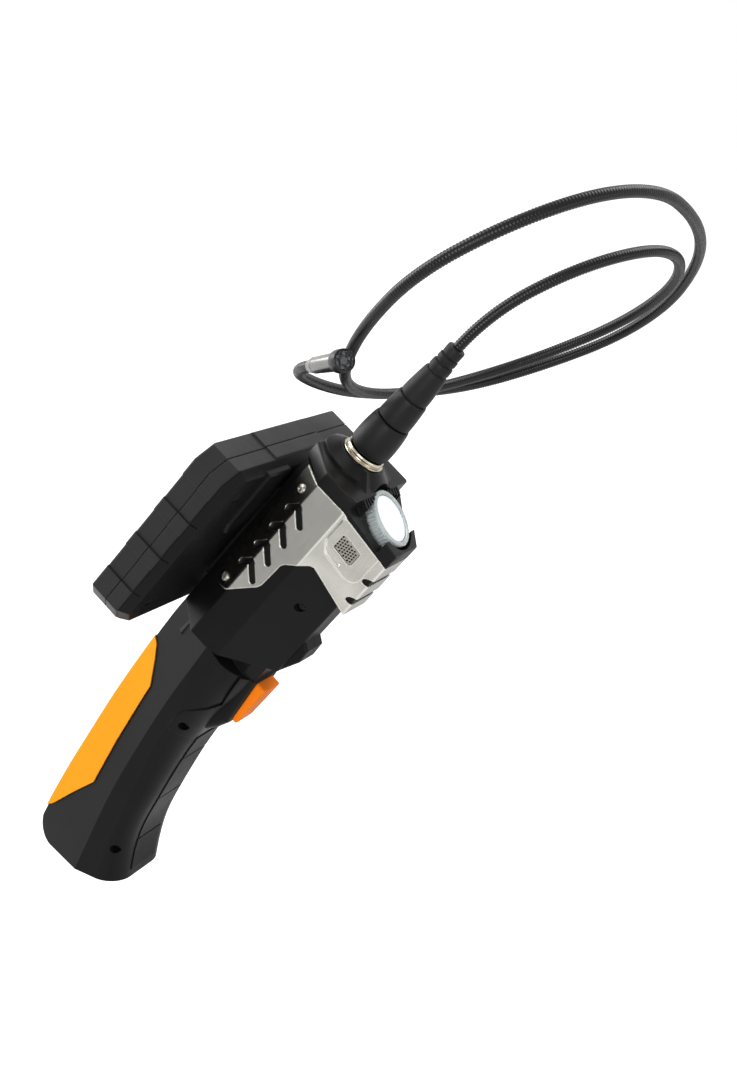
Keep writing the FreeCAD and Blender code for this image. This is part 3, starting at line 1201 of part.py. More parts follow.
os.makedirs("parts", exist_ok=True)
for node_name, node_shape in nodes.items():
    print(node_name, len(node_shape.Solids), node_shape.isValid(), round(node_shape.Volume, 1))
    node_shape.exportStep("parts/%s.step" % node_name)
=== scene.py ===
"""Looks of a handheld inspection camera with a docked display, a work lamp and a gooseneck probe.

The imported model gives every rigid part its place.  This script dresses those parts, and builds the
pieces that need a finer surface: the gooseneck, the probe's plug, the camera head and the lamp.
"""
import json
import logging
import math
from collections.abc import Sequence
from dataclasses import dataclass
from enum import Enum

import bmesh
import bpy
from mathutils import Matrix, Vector


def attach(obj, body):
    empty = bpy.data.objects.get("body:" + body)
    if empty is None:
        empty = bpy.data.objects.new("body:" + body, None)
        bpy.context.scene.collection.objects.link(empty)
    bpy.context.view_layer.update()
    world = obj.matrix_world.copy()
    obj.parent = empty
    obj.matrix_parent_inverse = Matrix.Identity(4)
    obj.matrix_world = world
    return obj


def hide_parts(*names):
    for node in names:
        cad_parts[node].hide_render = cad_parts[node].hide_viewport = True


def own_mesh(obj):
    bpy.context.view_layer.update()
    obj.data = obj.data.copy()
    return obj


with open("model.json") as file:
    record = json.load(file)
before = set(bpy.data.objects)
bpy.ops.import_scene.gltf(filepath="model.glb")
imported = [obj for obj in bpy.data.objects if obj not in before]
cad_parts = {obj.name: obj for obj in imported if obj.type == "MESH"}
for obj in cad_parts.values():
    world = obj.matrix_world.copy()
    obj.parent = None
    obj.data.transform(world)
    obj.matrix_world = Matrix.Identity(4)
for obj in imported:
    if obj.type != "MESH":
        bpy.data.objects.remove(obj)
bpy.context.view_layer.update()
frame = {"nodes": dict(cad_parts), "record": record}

log = logging.getLogger("inspection_camera")

Triple = tuple[float, float, float]
Outline = Sequence[tuple[float, float]]

MM = 0.001                  # metres in a millimetre
GRIP_TO_DISPLAY = 60.0      # millimetres from the origin up to the display's lower edge
SOCKET_Y = -9.2             # the axis of the socket and its plug, in millimetres
UP = Vector((0, 0, 1))
SAME_POINT = 1e-7           # points of a new shape closer than this, in metres, are one
SAME_CORNER = 1e-6          # the same for the corners of a CAD node
EVEN_SCALE = (1.0, 1.0, 1.0)
PRINCIPLED = "Principled BSDF"


# ---------------------------------------------------------------- finishes
# how many features a pattern has to a metre
PATCHES = 28.0
WEAR = 60.0
HAZE = 45.0
SHEET_WAVES = 55.0
BOARD_TRACKS = 220.0
BOARD_WEAR = 90.0


class Grain(Enum):
    """Direction in which a finish is drawn out."""

    EVEN = EVEN_SCALE
    ALONG_Z = (1.0, 1.0, 0.04)


class Bench:
    """A material's node tree, with short ways to add and join its nodes."""

    def __init__(self, name: str) -> None:
        """Start a material that has only its shader and output.

        Args:
            name: the material's name.
        """
        self.material = bpy.data.materials.new(name)
        self.material.use_nodes = True
        self.tree = self.material.node_tree
        self.shader = self.tree.nodes[PRINCIPLED]
        self.coords = self.tree.nodes.new("ShaderNodeTexCoord")

    def add(self, kind: str, **values: object) -> bpy.types.Node:
        """Add a node and set its inputs by name.

        Args:
            kind: the node's type name.
            values: input values, with underscores for the spaces in their names.

        Returns:
            The new node.
        """
        node = self.tree.nodes.new(kind)
        for name, value in values.items():
            node.inputs[name.replace("_", " ")].default_value = value
        return node

    def join(self, out: bpy.types.NodeSocket, into: bpy.types.NodeSocket) -> None:
        """Link two sockets."""
        self.tree.links.new(out, into)

    def space(self, stretch: Triple = EVEN_SCALE) -> bpy.types.NodeSocket:
        """Object coordinates, stretched along an axis.

        Args:
            stretch: scale of each axis; a small one draws the pattern out.

        Returns:
            The socket that carries the coordinates.
        """
        mapping = self.add("ShaderNodeMapping", Scale=stretch)
        self.join(self.coords.outputs["Object"], mapping.inputs["Vector"])
        return mapping.outputs["Vector"]

    def noise(self, scale: float, detail: float = 3.0, rough: float = 0.5,
              stretch: Triple = EVEN_SCALE) -> bpy.types.NodeSocket:
        """Noise of a given scale per metre.

        Args:
            scale: how many features there are to a metre.
            detail: how many finer layers it has.
            rough: how strong the finer layers are.
            stretch: scale of each axis.

        Returns:
            The socket with the noise's height.
        """
        node = self.add("ShaderNodeTexNoise", Scale=scale, Detail=detail, Roughness=rough)
        self.join(self.space(stretch), node.inputs["Vector"])
        return node.outputs["Fac"]

    def spread(self, source: bpy.types.NodeSocket, low: float, high: float,
               start: float = 0.3, end: float = 0.7) -> bpy.types.NodeSocket:
        """Map a noise's middle range to two values.

        Args:
            source: the socket to read.
            low: value at the start of the range.
            high: value at its end.
            start: where the range starts.
            end: where it ends.

        Returns:
            The socket with the mapped value.
        """
        node = self.tree.nodes.new("ShaderNodeMapRange")
        for name, value in (("From Min", start), ("From Max", end), ("To Min", low), ("To Max", high)):
            node.inputs[name].default_value = value
        self.join(source, node.inputs["Value"])
        return node.outputs["Result"]

    def blend(self, source: bpy.types.NodeSocket, first: Triple, second: Triple) -> bpy.types.NodeSocket:
        """Mix two colours by a value.

        Args:
            source: 0 gives the first colour and 1 the second.
            first: linear colour.
            second: linear colour.

        Returns:
            The socket with the colour.
        """
        node = self.tree.nodes.new("ShaderNodeMix")
        node.data_type = "RGBA"
        node.inputs[6].default_value = (*first, 1.0)
        node.inputs[7].default_value = (*second, 1.0)
        self.join(source, node.inputs[0])
        return node.outputs[2]

    def relief(self, layers: list[tuple[bpy.types.NodeSocket, float]], edge: float = 0.0) -> None:
        """Give the shader a bump made of several layers.

        Args:
            layers: each layer's height socket and its depth in metres.
            edge: radius to which the shading softens the piece's edges, in metres.
        """
        below = None
        if edge:
            below = self.add("ShaderNodeBevel", Radius=edge).outputs["Normal"]
        for height, depth in layers:
            bump = self.add("ShaderNodeBump", Strength=1.0, Distance=depth)
            self.join(height, bump.inputs["Height"])
            if below is not None:
                self.join(below, bump.inputs["Normal"])
            below = bump.outputs["Normal"]
        self.join(below, self.shader.inputs["Normal"])

    def settle(self, **values: object) -> None:
        """Set the shader's own sockets.

        Args:
            values: socket values, with underscores for the spaces in their names.
        """
        for name, value in values.items():
            self.shader.inputs[name.replace("_", " ")].default_value = value


@dataclass(frozen=True)
class Finish:
    """A finish of one colour with a fine grain and a little wear.

    Args:
        name: the material's name.
        colour: linear base colour.
        shade: linear colour of its duller patches.
        rough: roughness where it is most handled.
        dull: roughness elsewhere.
        grain: grains to a metre.
        depth: depth of the grain in metres.
        gloss: specular level of the surface.
        edge: radius of its softened edges in metres.
    """

    name: str
    colour: Triple
    shade: Triple
    rough: float = 0.4
    dull: float = 0.5
    grain: float = 2400.0
    depth: float = 0.04 * MM
    gloss: float = 0.5
    edge: float = 0.0

    def material(self) -> bpy.types.Material:
        """Make the material once, and return it every time.

        Returns:
            The finished material.
        """
        label = f"{self.name}_finish"
        found = bpy.data.materials.get(label)
        if found is not None:
            return found
        bench = Bench(label)
        self.dress(bench)
        return bench.material

    def dress(self, bench: Bench) -> None:
        """Lay the finish's nodes.

        Args:
            bench: the material's node tree.
        """
        patches = bench.noise(PATCHES, detail=4.0, rough=0.6)
        bench.join(bench.blend(bench.spread(patches, 0.0, 1.0), self.colour, self.shade),
                   bench.shader.inputs["Base Color"])
        wear = bench.noise(WEAR, detail=5.0, rough=0.65)
        bench.join(bench.spread(wear, self.rough, self.dull), bench.shader.inputs["Roughness"])
        bench.relief([(bench.noise(self.grain, detail=2.0), self.depth)], self.edge)
        bench.settle(Specular_IOR_Level=self.gloss)


@dataclass(frozen=True)
class Rubber(Finish):
    """Soft moulding: fine grain, no sharp gloss, and a faint bloom at grazing angles."""

    def dress(self, bench: Bench) -> None:
        """Lay the nodes of a soft moulding."""
        super().dress(bench)
        bench.settle(Sheen_Weight=0.04, Sheen_Roughness=0.5)


@dataclass(frozen=True)
class DrawnMetal(Finish):
    """Metal with the lines of its brushing or turning, where depth is that of a faint haze.

    Args:
        lines: direction in which it was drawn.
        line_scale: lines to a metre.
        line_depth: depth of the lines in metres.
        warp: depth of the slow unevenness of pressed sheet, in metres.
    """

    lines: Grain = Grain.EVEN
    line_scale: float = 4200.0
    line_depth: float = 0.01 * MM
    warp: float = 0.0

    def dress(self, bench: Bench) -> None:
        """Lay the nodes of brushed or turned metal."""
        bench.settle(Metallic=1.0)
        streaks = bench.noise(self.line_scale, detail=3.0, rough=0.6, stretch=self.lines.value)
        haze = bench.noise(HAZE, detail=4.0, rough=0.6)
        bench.join(bench.blend(bench.spread(haze, 0.0, 1.0), self.colour, self.shade),
                   bench.shader.inputs["Base Color"])
        bench.join(bench.spread(streaks, self.rough, self.dull, start=0.25, end=0.75),
                   bench.shader.inputs["Roughness"])
        layers = [(streaks, self.line_depth), (haze, self.depth)]
        if self.warp:
            layers.append((bench.noise(SHEET_WAVES, detail=0.0), self.warp))
        bench.relief(layers, self.edge)


@dataclass(frozen=True)
class ClearPlastic(Finish):
    """Frosted clear moulding."""

    def dress(self, bench: Bench) -> None:
        """Lay the nodes of a frosted clear moulding."""
        super().dress(bench)
        bench.settle(Transmission_Weight=0.45, IOR=1.49, Coat_Weight=0.25, Coat_Roughness=0.1)


@dataclass(frozen=True)
class Glowing(Finish):
    """White moulding that light comes through.

    Args:
        glow: strength of the light it gives.
    """

    glow: float = 0.3

    def dress(self, bench: Bench) -> None:
        """Lay the nodes of a lit diffuser."""
        super().dress(bench)
        bench.settle(Emission_Color=(*self.colour, 1.0), Emission_Strength=self.glow, Coat_Weight=0.4,
                     Coat_Roughness=0.08)


@dataclass(frozen=True)
class DarkGlass(Finish):
    """Dark pane with a clear gloss and faint smears.

    Args:
        coat: weight of its clear coat, which a matt pane lacks.
    """

    coat: float = 1.0

    def dress(self, bench: Bench) -> None:
        """Lay the nodes of a dark pane."""
        super().dress(bench)
        bench.settle(Coat_Weight=self.coat, Coat_Roughness=0.03)


@dataclass(frozen=True)
class ClearGlass(Finish):
    """Thin clear pane."""

    def dress(self, bench: Bench) -> None:
        """Lay the nodes of clear glass."""
        super().dress(bench)
        bench.settle(Transmission_Weight=1.0, IOR=1.3)


@dataclass(frozen=True)
class CircuitBoard(Finish):
    """Solder mask with lighter tracks and pads.

    Args:
        track: linear colour of the tracks.
    """

    track: Triple = (0.05, 0.22, 0.1)

    def dress(self, bench: Bench) -> None:
        """Lay the nodes of a circuit board."""
        tracks = bench.add("ShaderNodeTexBrick", Scale=BOARD_TRACKS, Mortar_Size=0.012)
        bench.join(bench.space(), tracks.inputs["Vector"])
        tracks.inputs["Color1"].default_value = (*self.colour, 1.0)
        tracks.inputs["Color2"].default_value = (*self.shade, 1.0)
        tracks.inputs["Mortar"].default_value = (*self.track, 1.0)
        bench.join(tracks.outputs["Color"], bench.shader.inputs["Base Color"])
        wear = bench.noise(BOARD_WEAR)
        bench.join(bench.spread(wear, self.rough, self.dull), bench.shader.inputs["Roughness"])
        bench.relief([(tracks.outputs["Fac"], self.depth)])


BLACK_SHELL = Finish(
    "black_shell", (0.0045, 0.0045, 0.0047), (0.0058, 0.0058, 0.006),
    rough=0.36, dull=0.46, grain=2600.0, depth=0.035 * MM, gloss=0.09, edge=0.5 * MM)
BLACK_BEZEL = Finish(
    "black_bezel", (0.006, 0.006, 0.0063), (0.008, 0.008, 0.0083),
    rough=0.28, dull=0.38, grain=3200.0, depth=0.02 * MM, gloss=0.1, edge=0.4 * MM)
BLACK_PLUG = Finish(
    "black_plug", (0.009, 0.009, 0.009), (0.012, 0.012, 0.012),
    rough=0.38, dull=0.48, grain=2800.0, depth=0.04 * MM, gloss=0.12)
BUMPER = Rubber(
    "bumper_rubber", (0.0135, 0.0135, 0.0139), (0.017, 0.017, 0.0173),
    rough=0.46, dull=0.58, grain=2200.0, depth=0.04 * MM, gloss=0.19, edge=0.6 * MM)
GRIP = Rubber(
    "grip_rubber", (0.003, 0.003, 0.003), (0.0045, 0.0045, 0.0045),
    rough=0.42, dull=0.54, grain=1900.0, depth=0.05 * MM, gloss=0.05, edge=0.4 * MM)
KEYPAD = Rubber(
    "keypad_rubber", (0.06, 0.06, 0.062), (0.075, 0.075, 0.077),
    rough=0.5, dull=0.6, grain=2600.0, depth=0.03 * MM, gloss=0.3)
BOOT = Rubber(
    "boot_rubber", (0.009, 0.009, 0.009), (0.012, 0.012, 0.012),
    rough=0.46, dull=0.56, grain=2400.0, depth=0.04 * MM, gloss=0.13)
JACKET = Rubber(
    "neck_jacket", (0.003, 0.003, 0.0031), (0.0045, 0.0045, 0.0046),
    rough=0.24, dull=0.32, grain=5200.0, depth=0.02 * MM, gloss=0.22)
PALM = Finish(
    "orange_pad", (0.86, 0.33, 0.02), (0.82, 0.31, 0.018),
    rough=0.5, dull=0.6, grain=2300.0, depth=0.03 * MM, gloss=0.0, edge=0.4 * MM)
BUTTON = Finish(
    "orange_button", (0.98, 0.225, 0.008), (0.94, 0.205, 0.007),
    rough=0.38, dull=0.48, grain=3000.0, depth=0.015 * MM, gloss=0.06, edge=1.8 * MM)
STEEL = DrawnMetal(
    "shroud_steel", (0.57, 0.555, 0.512), (0.51, 0.497, 0.458),
    rough=0.2, dull=0.27, depth=0.006 * MM, edge=0.7 * MM, lines=Grain.ALONG_Z,
    line_depth=0.0008 * MM, warp=0.7 * MM)
MESH_STEEL = DrawnMetal(
    "mesh_steel", (0.32, 0.305, 0.275), (0.27, 0.257, 0.23),
    rough=0.3, dull=0.44, depth=0.01 * MM)
SCREW_STEEL = DrawnMetal(
    "screw_steel", (0.5, 0.475, 0.42), (0.4, 0.38, 0.34),
    rough=0.22, dull=0.4, depth=0.02 * MM)
SPRING_STEEL = DrawnMetal(
    "spring_steel", (0.5, 0.5, 0.5), (0.42, 0.42, 0.42),
    rough=0.25, dull=0.4, depth=0.01 * MM)
NICKEL = DrawnMetal(
    "nickel_plate", (0.55, 0.5, 0.4), (0.48, 0.43, 0.34),
    rough=0.12, dull=0.2, depth=0.01 * MM, lines=Grain.ALONG_Z)
BARREL_STEEL = DrawnMetal(
    "barrel_steel", (0.2, 0.195, 0.19), (0.16, 0.157, 0.15),
    rough=0.2, dull=0.34, depth=0.01 * MM)
LAMP_METAL = DrawnMetal(
    "lamp_anodised", (0.02, 0.02, 0.021), (0.028, 0.028, 0.029),
    rough=0.3, dull=0.45, depth=0.02 * MM)
BLACK_OXIDE = DrawnMetal(
    "black_oxide", (0.035, 0.035, 0.036), (0.05, 0.05, 0.05),
    rough=0.35, dull=0.5, depth=0.02 * MM)
FOIL = DrawnMetal(
    "cell_foil", (0.6, 0.6, 0.62), (0.5, 0.5, 0.52),
    rough=0.3, dull=0.45, depth=0.1 * MM)
CELL_JACKET = Finish(
    "cell_jacket", (0.03, 0.09, 0.055), (0.04, 0.11, 0.07),
    rough=0.25, dull=0.35, grain=1500.0, depth=0.02 * MM)
LAMP_CLEAR = ClearPlastic(
    "lamp_clear", (0.72, 0.77, 0.77), (0.62, 0.68, 0.68),
    rough=0.18, dull=0.3, grain=900.0, depth=0.03 * MM)
LAMP_LENS = Glowing(
    "lamp_diffuser", (0.9, 0.94, 1.0), (0.86, 0.91, 0.98),
    rough=0.3, dull=0.4, grain=700.0, depth=0.03 * MM, glow=0.12)
LED = Glowing(
    "led_phosphor", (0.95, 0.85, 0.35), (0.9, 0.78, 0.3),
    rough=0.4, dull=0.5, grain=900.0, depth=0.02 * MM, glow=0.05)
TINY_LED = DarkGlass(
    "camera_led", (0.035, 0.033, 0.027), (0.025, 0.024, 0.02),
    rough=0.2, dull=0.3, grain=900.0, depth=0.01 * MM)
SCREEN = DarkGlass(
    "screen_glass", (0.004, 0.004, 0.005), (0.005, 0.005, 0.006),
    rough=0.16, dull=0.24, grain=300.0, depth=0.004 * MM, gloss=0.12, coat=0.0)
PANEL = DarkGlass(
    "screen_panel", (0.008, 0.01, 0.014), (0.01, 0.012, 0.016),
    rough=0.15, dull=0.25, grain=300.0, depth=0.004 * MM, gloss=0.12, coat=0.0)
OPTIC = DarkGlass(
    "camera_optic", (0.006, 0.005, 0.012), (0.01, 0.008, 0.016),
    rough=0.05, dull=0.1, grain=600.0, depth=0.003 * MM)
PANE = ClearGlass(
    "camera_pane", (0.95, 0.96, 0.98), (0.93, 0.94, 0.97),
    rough=0.02, dull=0.06, grain=600.0, depth=0.002 * MM)
BOARD = CircuitBoard(
    "circuit_board", (0.01, 0.09, 0.035), (0.012, 0.1, 0.04),
    rough=0.3, dull=0.45, depth=0.02 * MM)


def body_name(node: str) -> str:
    """Body that a CAD node rides on."""
    return next(b for b, parts in frame["record"]["behaviour"]["bodies"].items() if node in parts)


def lifted(x: float, y: float, z: float) -> Vector:
    """Place in metres of a point in millimetres, whose height counts from the display's lower edge."""
    return Vector((x * MM, y * MM, (z + GRIP_TO_DISPLAY) * MM))


def in_scene(name: str, data: bpy.types.ID) -> bpy.types.Object:
    """Object of the scene that shows a mesh, curve, lamp or camera."""
    obj = bpy.data.objects.new(name, data)
    bpy.context.scene.collection.objects.link(obj)
    return obj


def in_scene_from(name: str, mesh: bmesh.types.BMesh) -> bpy.types.Object:
    """Object of the scene that shows a bmesh, which is freed."""
    data = bpy.data.meshes.new(name)
    mesh.to_mesh(data)
    mesh.free()
    return in_scene(name, data)


def keep(node: str, finish: Finish) -> bpy.types.Object:
    """Dress a CAD node that stays as it is.

    Args:
        node: the node's name.
        finish: its finish, in place of what it has.

    Returns:
        The node's object.
    """
    obj = frame["nodes"][node]
    obj.data.materials.clear()
    obj.data.materials.append(finish.material())
    log.info("%s keeps its shape", node)
    return obj


def publish(name: str, mesh: bmesh.types.BMesh, finishes: list[Finish], nodes: list[str],
            smooth: float = 35.0) -> bpy.types.Object:
    """Turn a finished bmesh into a piece that replaces CAD nodes.

    Args:
        name: the piece's name.
        mesh: the shape, already in its place in metres.
        finishes: its finishes, in the order of the faces' material numbers.
        nodes: the CAD nodes it stands for; the first gives its body.
        smooth: edges sharper than this many degrees stay crisp.

    Returns:
        The piece's object.
    """
    for edge in mesh.edges:
        if len(edge.link_faces) == 2 and edge.calc_face_angle() > math.radians(smooth):
            edge.smooth = False
    for face in mesh.faces:
        face.smooth = True
    obj = in_scene_from(name, mesh)
    for finish in finishes:
        obj.data.materials.append(finish.material())
    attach(obj, body_name(nodes[0]))
    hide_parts(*nodes)
    log.info("%s: %d faces", name, len(obj.data.polygons))
    return obj


def spun(profile: Outline, steps: int = 96) -> bmesh.types.BMesh:
    """Closed solid of revolution about Z.

    Args:
        profile: (radius, height) points in millimetres, either from axis to axis or round a ring.
        steps: how many segments go round.

    Returns:
        The solid, with its poles closed.
    """
    mesh = bmesh.new()
    verts = [mesh.verts.new((r * MM, 0.0, z * MM)) for r, z in profile]
    edges = [mesh.edges.new(pair) for pair in zip(verts, verts[1:])]
    bmesh.ops.spin(mesh, geom=verts + edges, cent=(0, 0, 0), axis=UP, angle=math.tau, steps=steps,
                   use_merge=True)
    bmesh.ops.remove_doubles(mesh, verts=mesh.verts[:], dist=SAME_POINT)
    bmesh.ops.recalc_face_normals(mesh, faces=mesh.faces[:])
    return mesh


def placed(mesh: bmesh.types.BMesh, at: Vector, axis: Vector = UP) -> bmesh.types.BMesh:
    """Turn a shape's Z to an axis and move it.

    Args:
        mesh: the shape, built about the origin.
        at: where its origin goes, in metres.
        axis: direction its Z takes.

    Returns:
        The same shape.
    """
    turn = UP.rotation_difference(axis).to_matrix().to_4x4()
    bmesh.ops.transform(mesh, matrix=Matrix.Translation(at) @ turn, verts=mesh.verts[:])
    return mesh


def joined(parts: list[bmesh.types.BMesh], slots: Sequence[int] = ()) -> bmesh.types.BMesh:
    """Put several shapes in one.

    Args:
        parts: the shapes, which are freed.
        slots: the material number of each, or nothing where they share the first.

    Returns:
        One shape that holds them all.
    """
    whole = bmesh.new()
    for part, slot in zip(parts, slots or [0] * len(parts)):
        for face in part.faces:
            face.material_index = slot
        data = bpy.data.meshes.new("part")
        part.to_mesh(data)
        part.free()
        whole.from_mesh(data)
        bpy.data.meshes.remove(data)
    return whole


def carved(node: str, cutters: list[bmesh.types.BMesh]) -> bmesh.types.BMesh:
    """Merged copy of a CAD node with other shapes cut out of it.

    Args:
        node: the node's name; the node itself isn't changed.
        cutters: closed shapes in their places, which are freed.

    Returns:
        The cut copy.
    """
    source = frame["nodes"][node]
    whole = bmesh.new()
    whole.from_mesh(source.data)
    bmesh.ops.transform(whole, matrix=source.matrix_world, verts=whole.verts[:])
    bmesh.ops.remove_doubles(whole, verts=whole.verts[:], dist=SAME_CORNER)
    holders = [in_scene_from(f"{node}_{index}", shape) for index, shape in enumerate([whole] + cutters)]
    for tool in holders[1:]:
        cut = holders[0].modifiers.new(tool.name, "BOOLEAN")
        cut.operation = "DIFFERENCE"
        cut.solver = "EXACT"
        cut.object = tool
    result = bmesh.new()
    result.from_object(holders[0], bpy.context.evaluated_depsgraph_get())
    for holder in holders:
        data = holder.data
        bpy.data.objects.remove(holder)
        bpy.data.meshes.remove(data)
    return result


# ---------------------------------------------------------------- probe
@dataclass
class Gooseneck:
    """Semi-rigid neck: a ribbed jacket along one smooth route.

    Args:
        diameter: over the ribs, in metres.
        rib_pitch: from one groove to the next, in metres.
        rib_depth: depth of the grooves, in metres.
        steps_per_rib: rings of the mesh to one rib.
        sides: faces round the neck.
        route: control points of its middle line in millimetres, from the plug to the camera.
    """

    diameter: float = 4.4 * MM
    rib_pitch: float = 1.15 * MM
    rib_depth: float = 0.2 * MM
    steps_per_rib: int = 3
    sides: int = 14
    route: tuple[Triple, ...] = (
        (0, -9.2, 151), (0, -9, 168), (-12, 1, 198), (-38, 12, 217), (-70, 18, 216),
        (-99, 19, 200), (-117, 11, 172), (-117, -3, 141), (-100, -15, 118), (-72, -24, 104),
        (-39, -31, 100), (-6, -33, 108), (23, -31, 125), (46, -28, 149), (61, -22, 178),
        (56, -11, 208), (36, 0, 231), (7, 9, 240), (-26, 16, 236), (-60, 20, 227),
        (-91, 21, 213), (-116, 20, 191), (-128, 12, 163), (-124, -2, 134), (-107, -16, 110),
        (-78, -28, 98), (-44, -37, 94), (-13, -44, 97), (20, -45.5, 107.7),
        (31.3, -37.2, 118.9))

    def centre_line(self) -> list[Vector]:
        """Points of the smooth line, read from a NURBS spline on the route.

        Returns:
            Points in metres, close together.
        """
        curve = bpy.data.curves.new("neck_line", "CURVE")
        curve.dimensions = "3D"
        curve.resolution_u = 24
        spline = curve.splines.new("NURBS")
        spline.points.add(len(self.route) - 1)
        for point, place in zip(spline.points, self.route):
            point.co = (*lifted(*place), 1.0)
        spline.order_u = 3
        spline.use_endpoint_u = True
        holder = in_scene("neck_line", curve)
        data = bpy.data.meshes.new_from_object(holder)
        points = [v.co.copy() for v in data.vertices]
        bpy.data.objects.remove(holder)
        bpy.data.curves.remove(curve)
        bpy.data.meshes.remove(data)
        return points

    def even_steps(self, points: list[Vector], step: float) -> list[tuple[Vector, Vector]]:
        """Points at even distances along a line, each with its direction.

        Args:
            points: the line.
            step: distance between the points returned.

        Returns:
            (point, unit direction) pairs from end to end.
        """
        found, travelled, target = [], 0.0, 0.0
        for a, b in zip(points, points[1:]):
            length = (b - a).length
            if length < SAME_POINT:
                continue
            while target <= travelled + length:
                found.append((a.lerp(b, (target - travelled) / length), (b - a).normalized()))
                target += step
            travelled += length
        found.append((points[-1], (points[-1] - points[-2]).normalized()))
        return found

    def rings(self, line: list[Vector]) -> list[Matrix]:
        """Places of the mesh's rings, each with its radius as its scale.

        Args:
            line: the neck's middle line.

        Returns:
            One matrix to a ring, turned no more than the line bends.
        """
        steps = self.even_steps(line, self.rib_pitch / self.steps_per_rib)
        turn = UP.rotation_difference(steps[0][1])
        made = []
        for index, (point, along) in enumerate(steps):
            turn = (turn @ UP).rotation_difference(along) @ turn
            groove = self.rib_depth if index % self.steps_per_rib == 0 else 0.0
            size = Matrix.Scale(self.diameter / 2 - groove, 4)
            made.append(Matrix.Translation(point) @ turn.to_matrix().to_4x4() @ size)
        return made

    def build(self, with_pieces: list[bpy.types.Object]) -> None:
        """Args:
            with_pieces: the pieces that are on the neck's ends; not used.
        """
        line = self.centre_line()
        rings = self.rings(line)
        mesh = bmesh.new()
        bmesh.ops.create_grid(mesh, x_segments=self.sides, y_segments=len(rings) - 1, size=1.0)
        for vert in mesh.verts:
            angle = math.pi * vert.co.x
            ring = rings[round((vert.co.y + 1) / 2 * (len(rings) - 1))]
            vert.co = ring @ Vector((math.cos(angle), math.sin(angle), 0.0))
        bmesh.ops.remove_doubles(mesh, verts=mesh.verts[:], dist=SAME_POINT)
        bmesh.ops.holes_fill(mesh, edges=[edge for edge in mesh.edges if edge.is_boundary])
        bmesh.ops.recalc_face_normals(mesh, faces=mesh.faces[:])
        neck = publish("gooseneck_jacket", mesh, [JACKET], ["gooseneck"], smooth=60.0)


@dataclass
class CameraHead:
    """Steel barrel with the camera, its window and its ring of lights.

    Args:
        neck: the gooseneck that carries it.
        diameter: of the barrel's cap, in millimetres.
        length: of the barrel.
        cap: how much of the length the cap takes.
        wall: thickness of the cap's rim.
        recess: depth of the cap's mouth.
    """

    neck: Gooseneck
    diameter: float = 8.2
    length: float = 27.0
    cap: float = 5.0
    wall: float = 0.8
    recess: float = 2.6

    def build(self) -> list[bpy.types.Object]:
        """Build the barrel's pieces at the end of the neck.

        Returns:
            The pieces.
        """
        before, tip = (Vector(place) for place in self.neck.route[-2:])
        r, end = self.diameter / 2, self.length
        back, floor = end - self.cap, end - self.recess
        sleeve = spun([(0, 0), (2.4, 0), (2.5, 0.15), (2.7, 3.0), (2.95, 3.4), (3.0, 3.7), (3.0, 4.6),
                       (2.9, 4.7), (2.9, 5.1), (3.0, 5.2), (3.35, back - 0.4), (3.3, back), (0, back)],
                      steps=64)
        nose = spun([(0, back), (r - 0.5, back), (r - 0.12, back + 0.2), (r, back + 0.6), (r, end - 0.5),
                     (r - 0.08, end - 0.2), (r - 0.4, end), (r - self.wall, end), (r - self.wall, floor),
                     (0, floor)], steps=64)
        barrel = placed(joined([sleeve, nose], [0, 1]), lifted(*tip), (tip - before).normalized())
        return [publish("camera_sleeve", barrel, [BARREL_STEEL, LAMP_METAL], ["camera_barrel"]),
                keep("camera_window", PANE),
                keep("camera_lens", OPTIC),
                keep("camera_lights", TINY_LED)]


@dataclass
class Plug:
    """Probe plug: coupling nut, sleeve, boot and tail, all on the socket's axis.

    Args:
        nut: (radius, height) outline in millimetres.
        sleeve: the same, of the piece that goes into the socket.
        boot: the same, of the stepped boot.
        tail: the same, of the end that the neck leaves.
    """

    nut: Outline = (
        (5.6, 99.3), (7.3, 99.3), (7.6, 99.5), (8.1, 100.3), (8.28, 101.2), (8.33, 103.0), (8.33, 105.2),
        (8.24, 107.4), (8.06, 109.6), (7.8, 111.8), (7.58, 113.2), (7.4, 113.9), (7.1, 114.2), (5.6, 114.2),
        (5.6, 99.3))
    sleeve: Outline = (
        (0, 94.6), (4.8, 94.6), (4.8, 100.3), (5.2, 100.3), (5.2, 114.75), (6.75, 114.75), (6.98, 115.0),
        (6.98, 116.4), (6.86, 119.0), (6.62, 122.0), (6.34, 124.8), (6.2, 125.6), (5.95, 125.95), (0, 126.0))
    boot: Outline = (
        (0, 126.0), (5.2, 126.0), (5.2, 126.6), (5.6, 126.6), (5.8, 126.85), (5.72, 129.4), (5.4, 133.0),
        (4.98, 137.0), (4.72, 138.9), (4.5, 139.3), (3.7, 139.45), (3.6, 140.3), (4.2, 140.4), (4.32, 140.65),
        (4.2, 143.0), (3.95, 143.4), (3.1, 143.5), (3.05, 144.35), (3.8, 144.45), (3.95, 144.7),
        (3.85, 146.5), (3.6, 146.75), (0, 146.8))
    tail: Outline = (
        (0, 146.8), (2.95, 146.8), (2.95, 147.3), (3.45, 147.35), (3.6, 147.55), (3.6, 150.4), (3.45, 150.8),
        (3.0, 151.0), (0, 151.0))

    def build(self) -> list[bpy.types.Object]:
        """Turn the four pieces of the plug.

        Returns:
            The pieces that the neck carries, which leaves out the nut.
        """
        at = lifted(0, SOCKET_Y, 0)
        publish("plug_nut", placed(spun(self.nut), at), [BLACK_PLUG], ["coupling_nut"])
        return [publish("plug_sleeve", placed(spun(self.sleeve), at), [BLACK_PLUG], ["plug_body"]),
                publish("plug_boot", placed(spun(self.boot), at), [BOOT], ["cable_boot"]),
                publish("plug_tail", placed(spun(self.tail, steps=64), at), [BOOT], ["tail_ferrule"])]


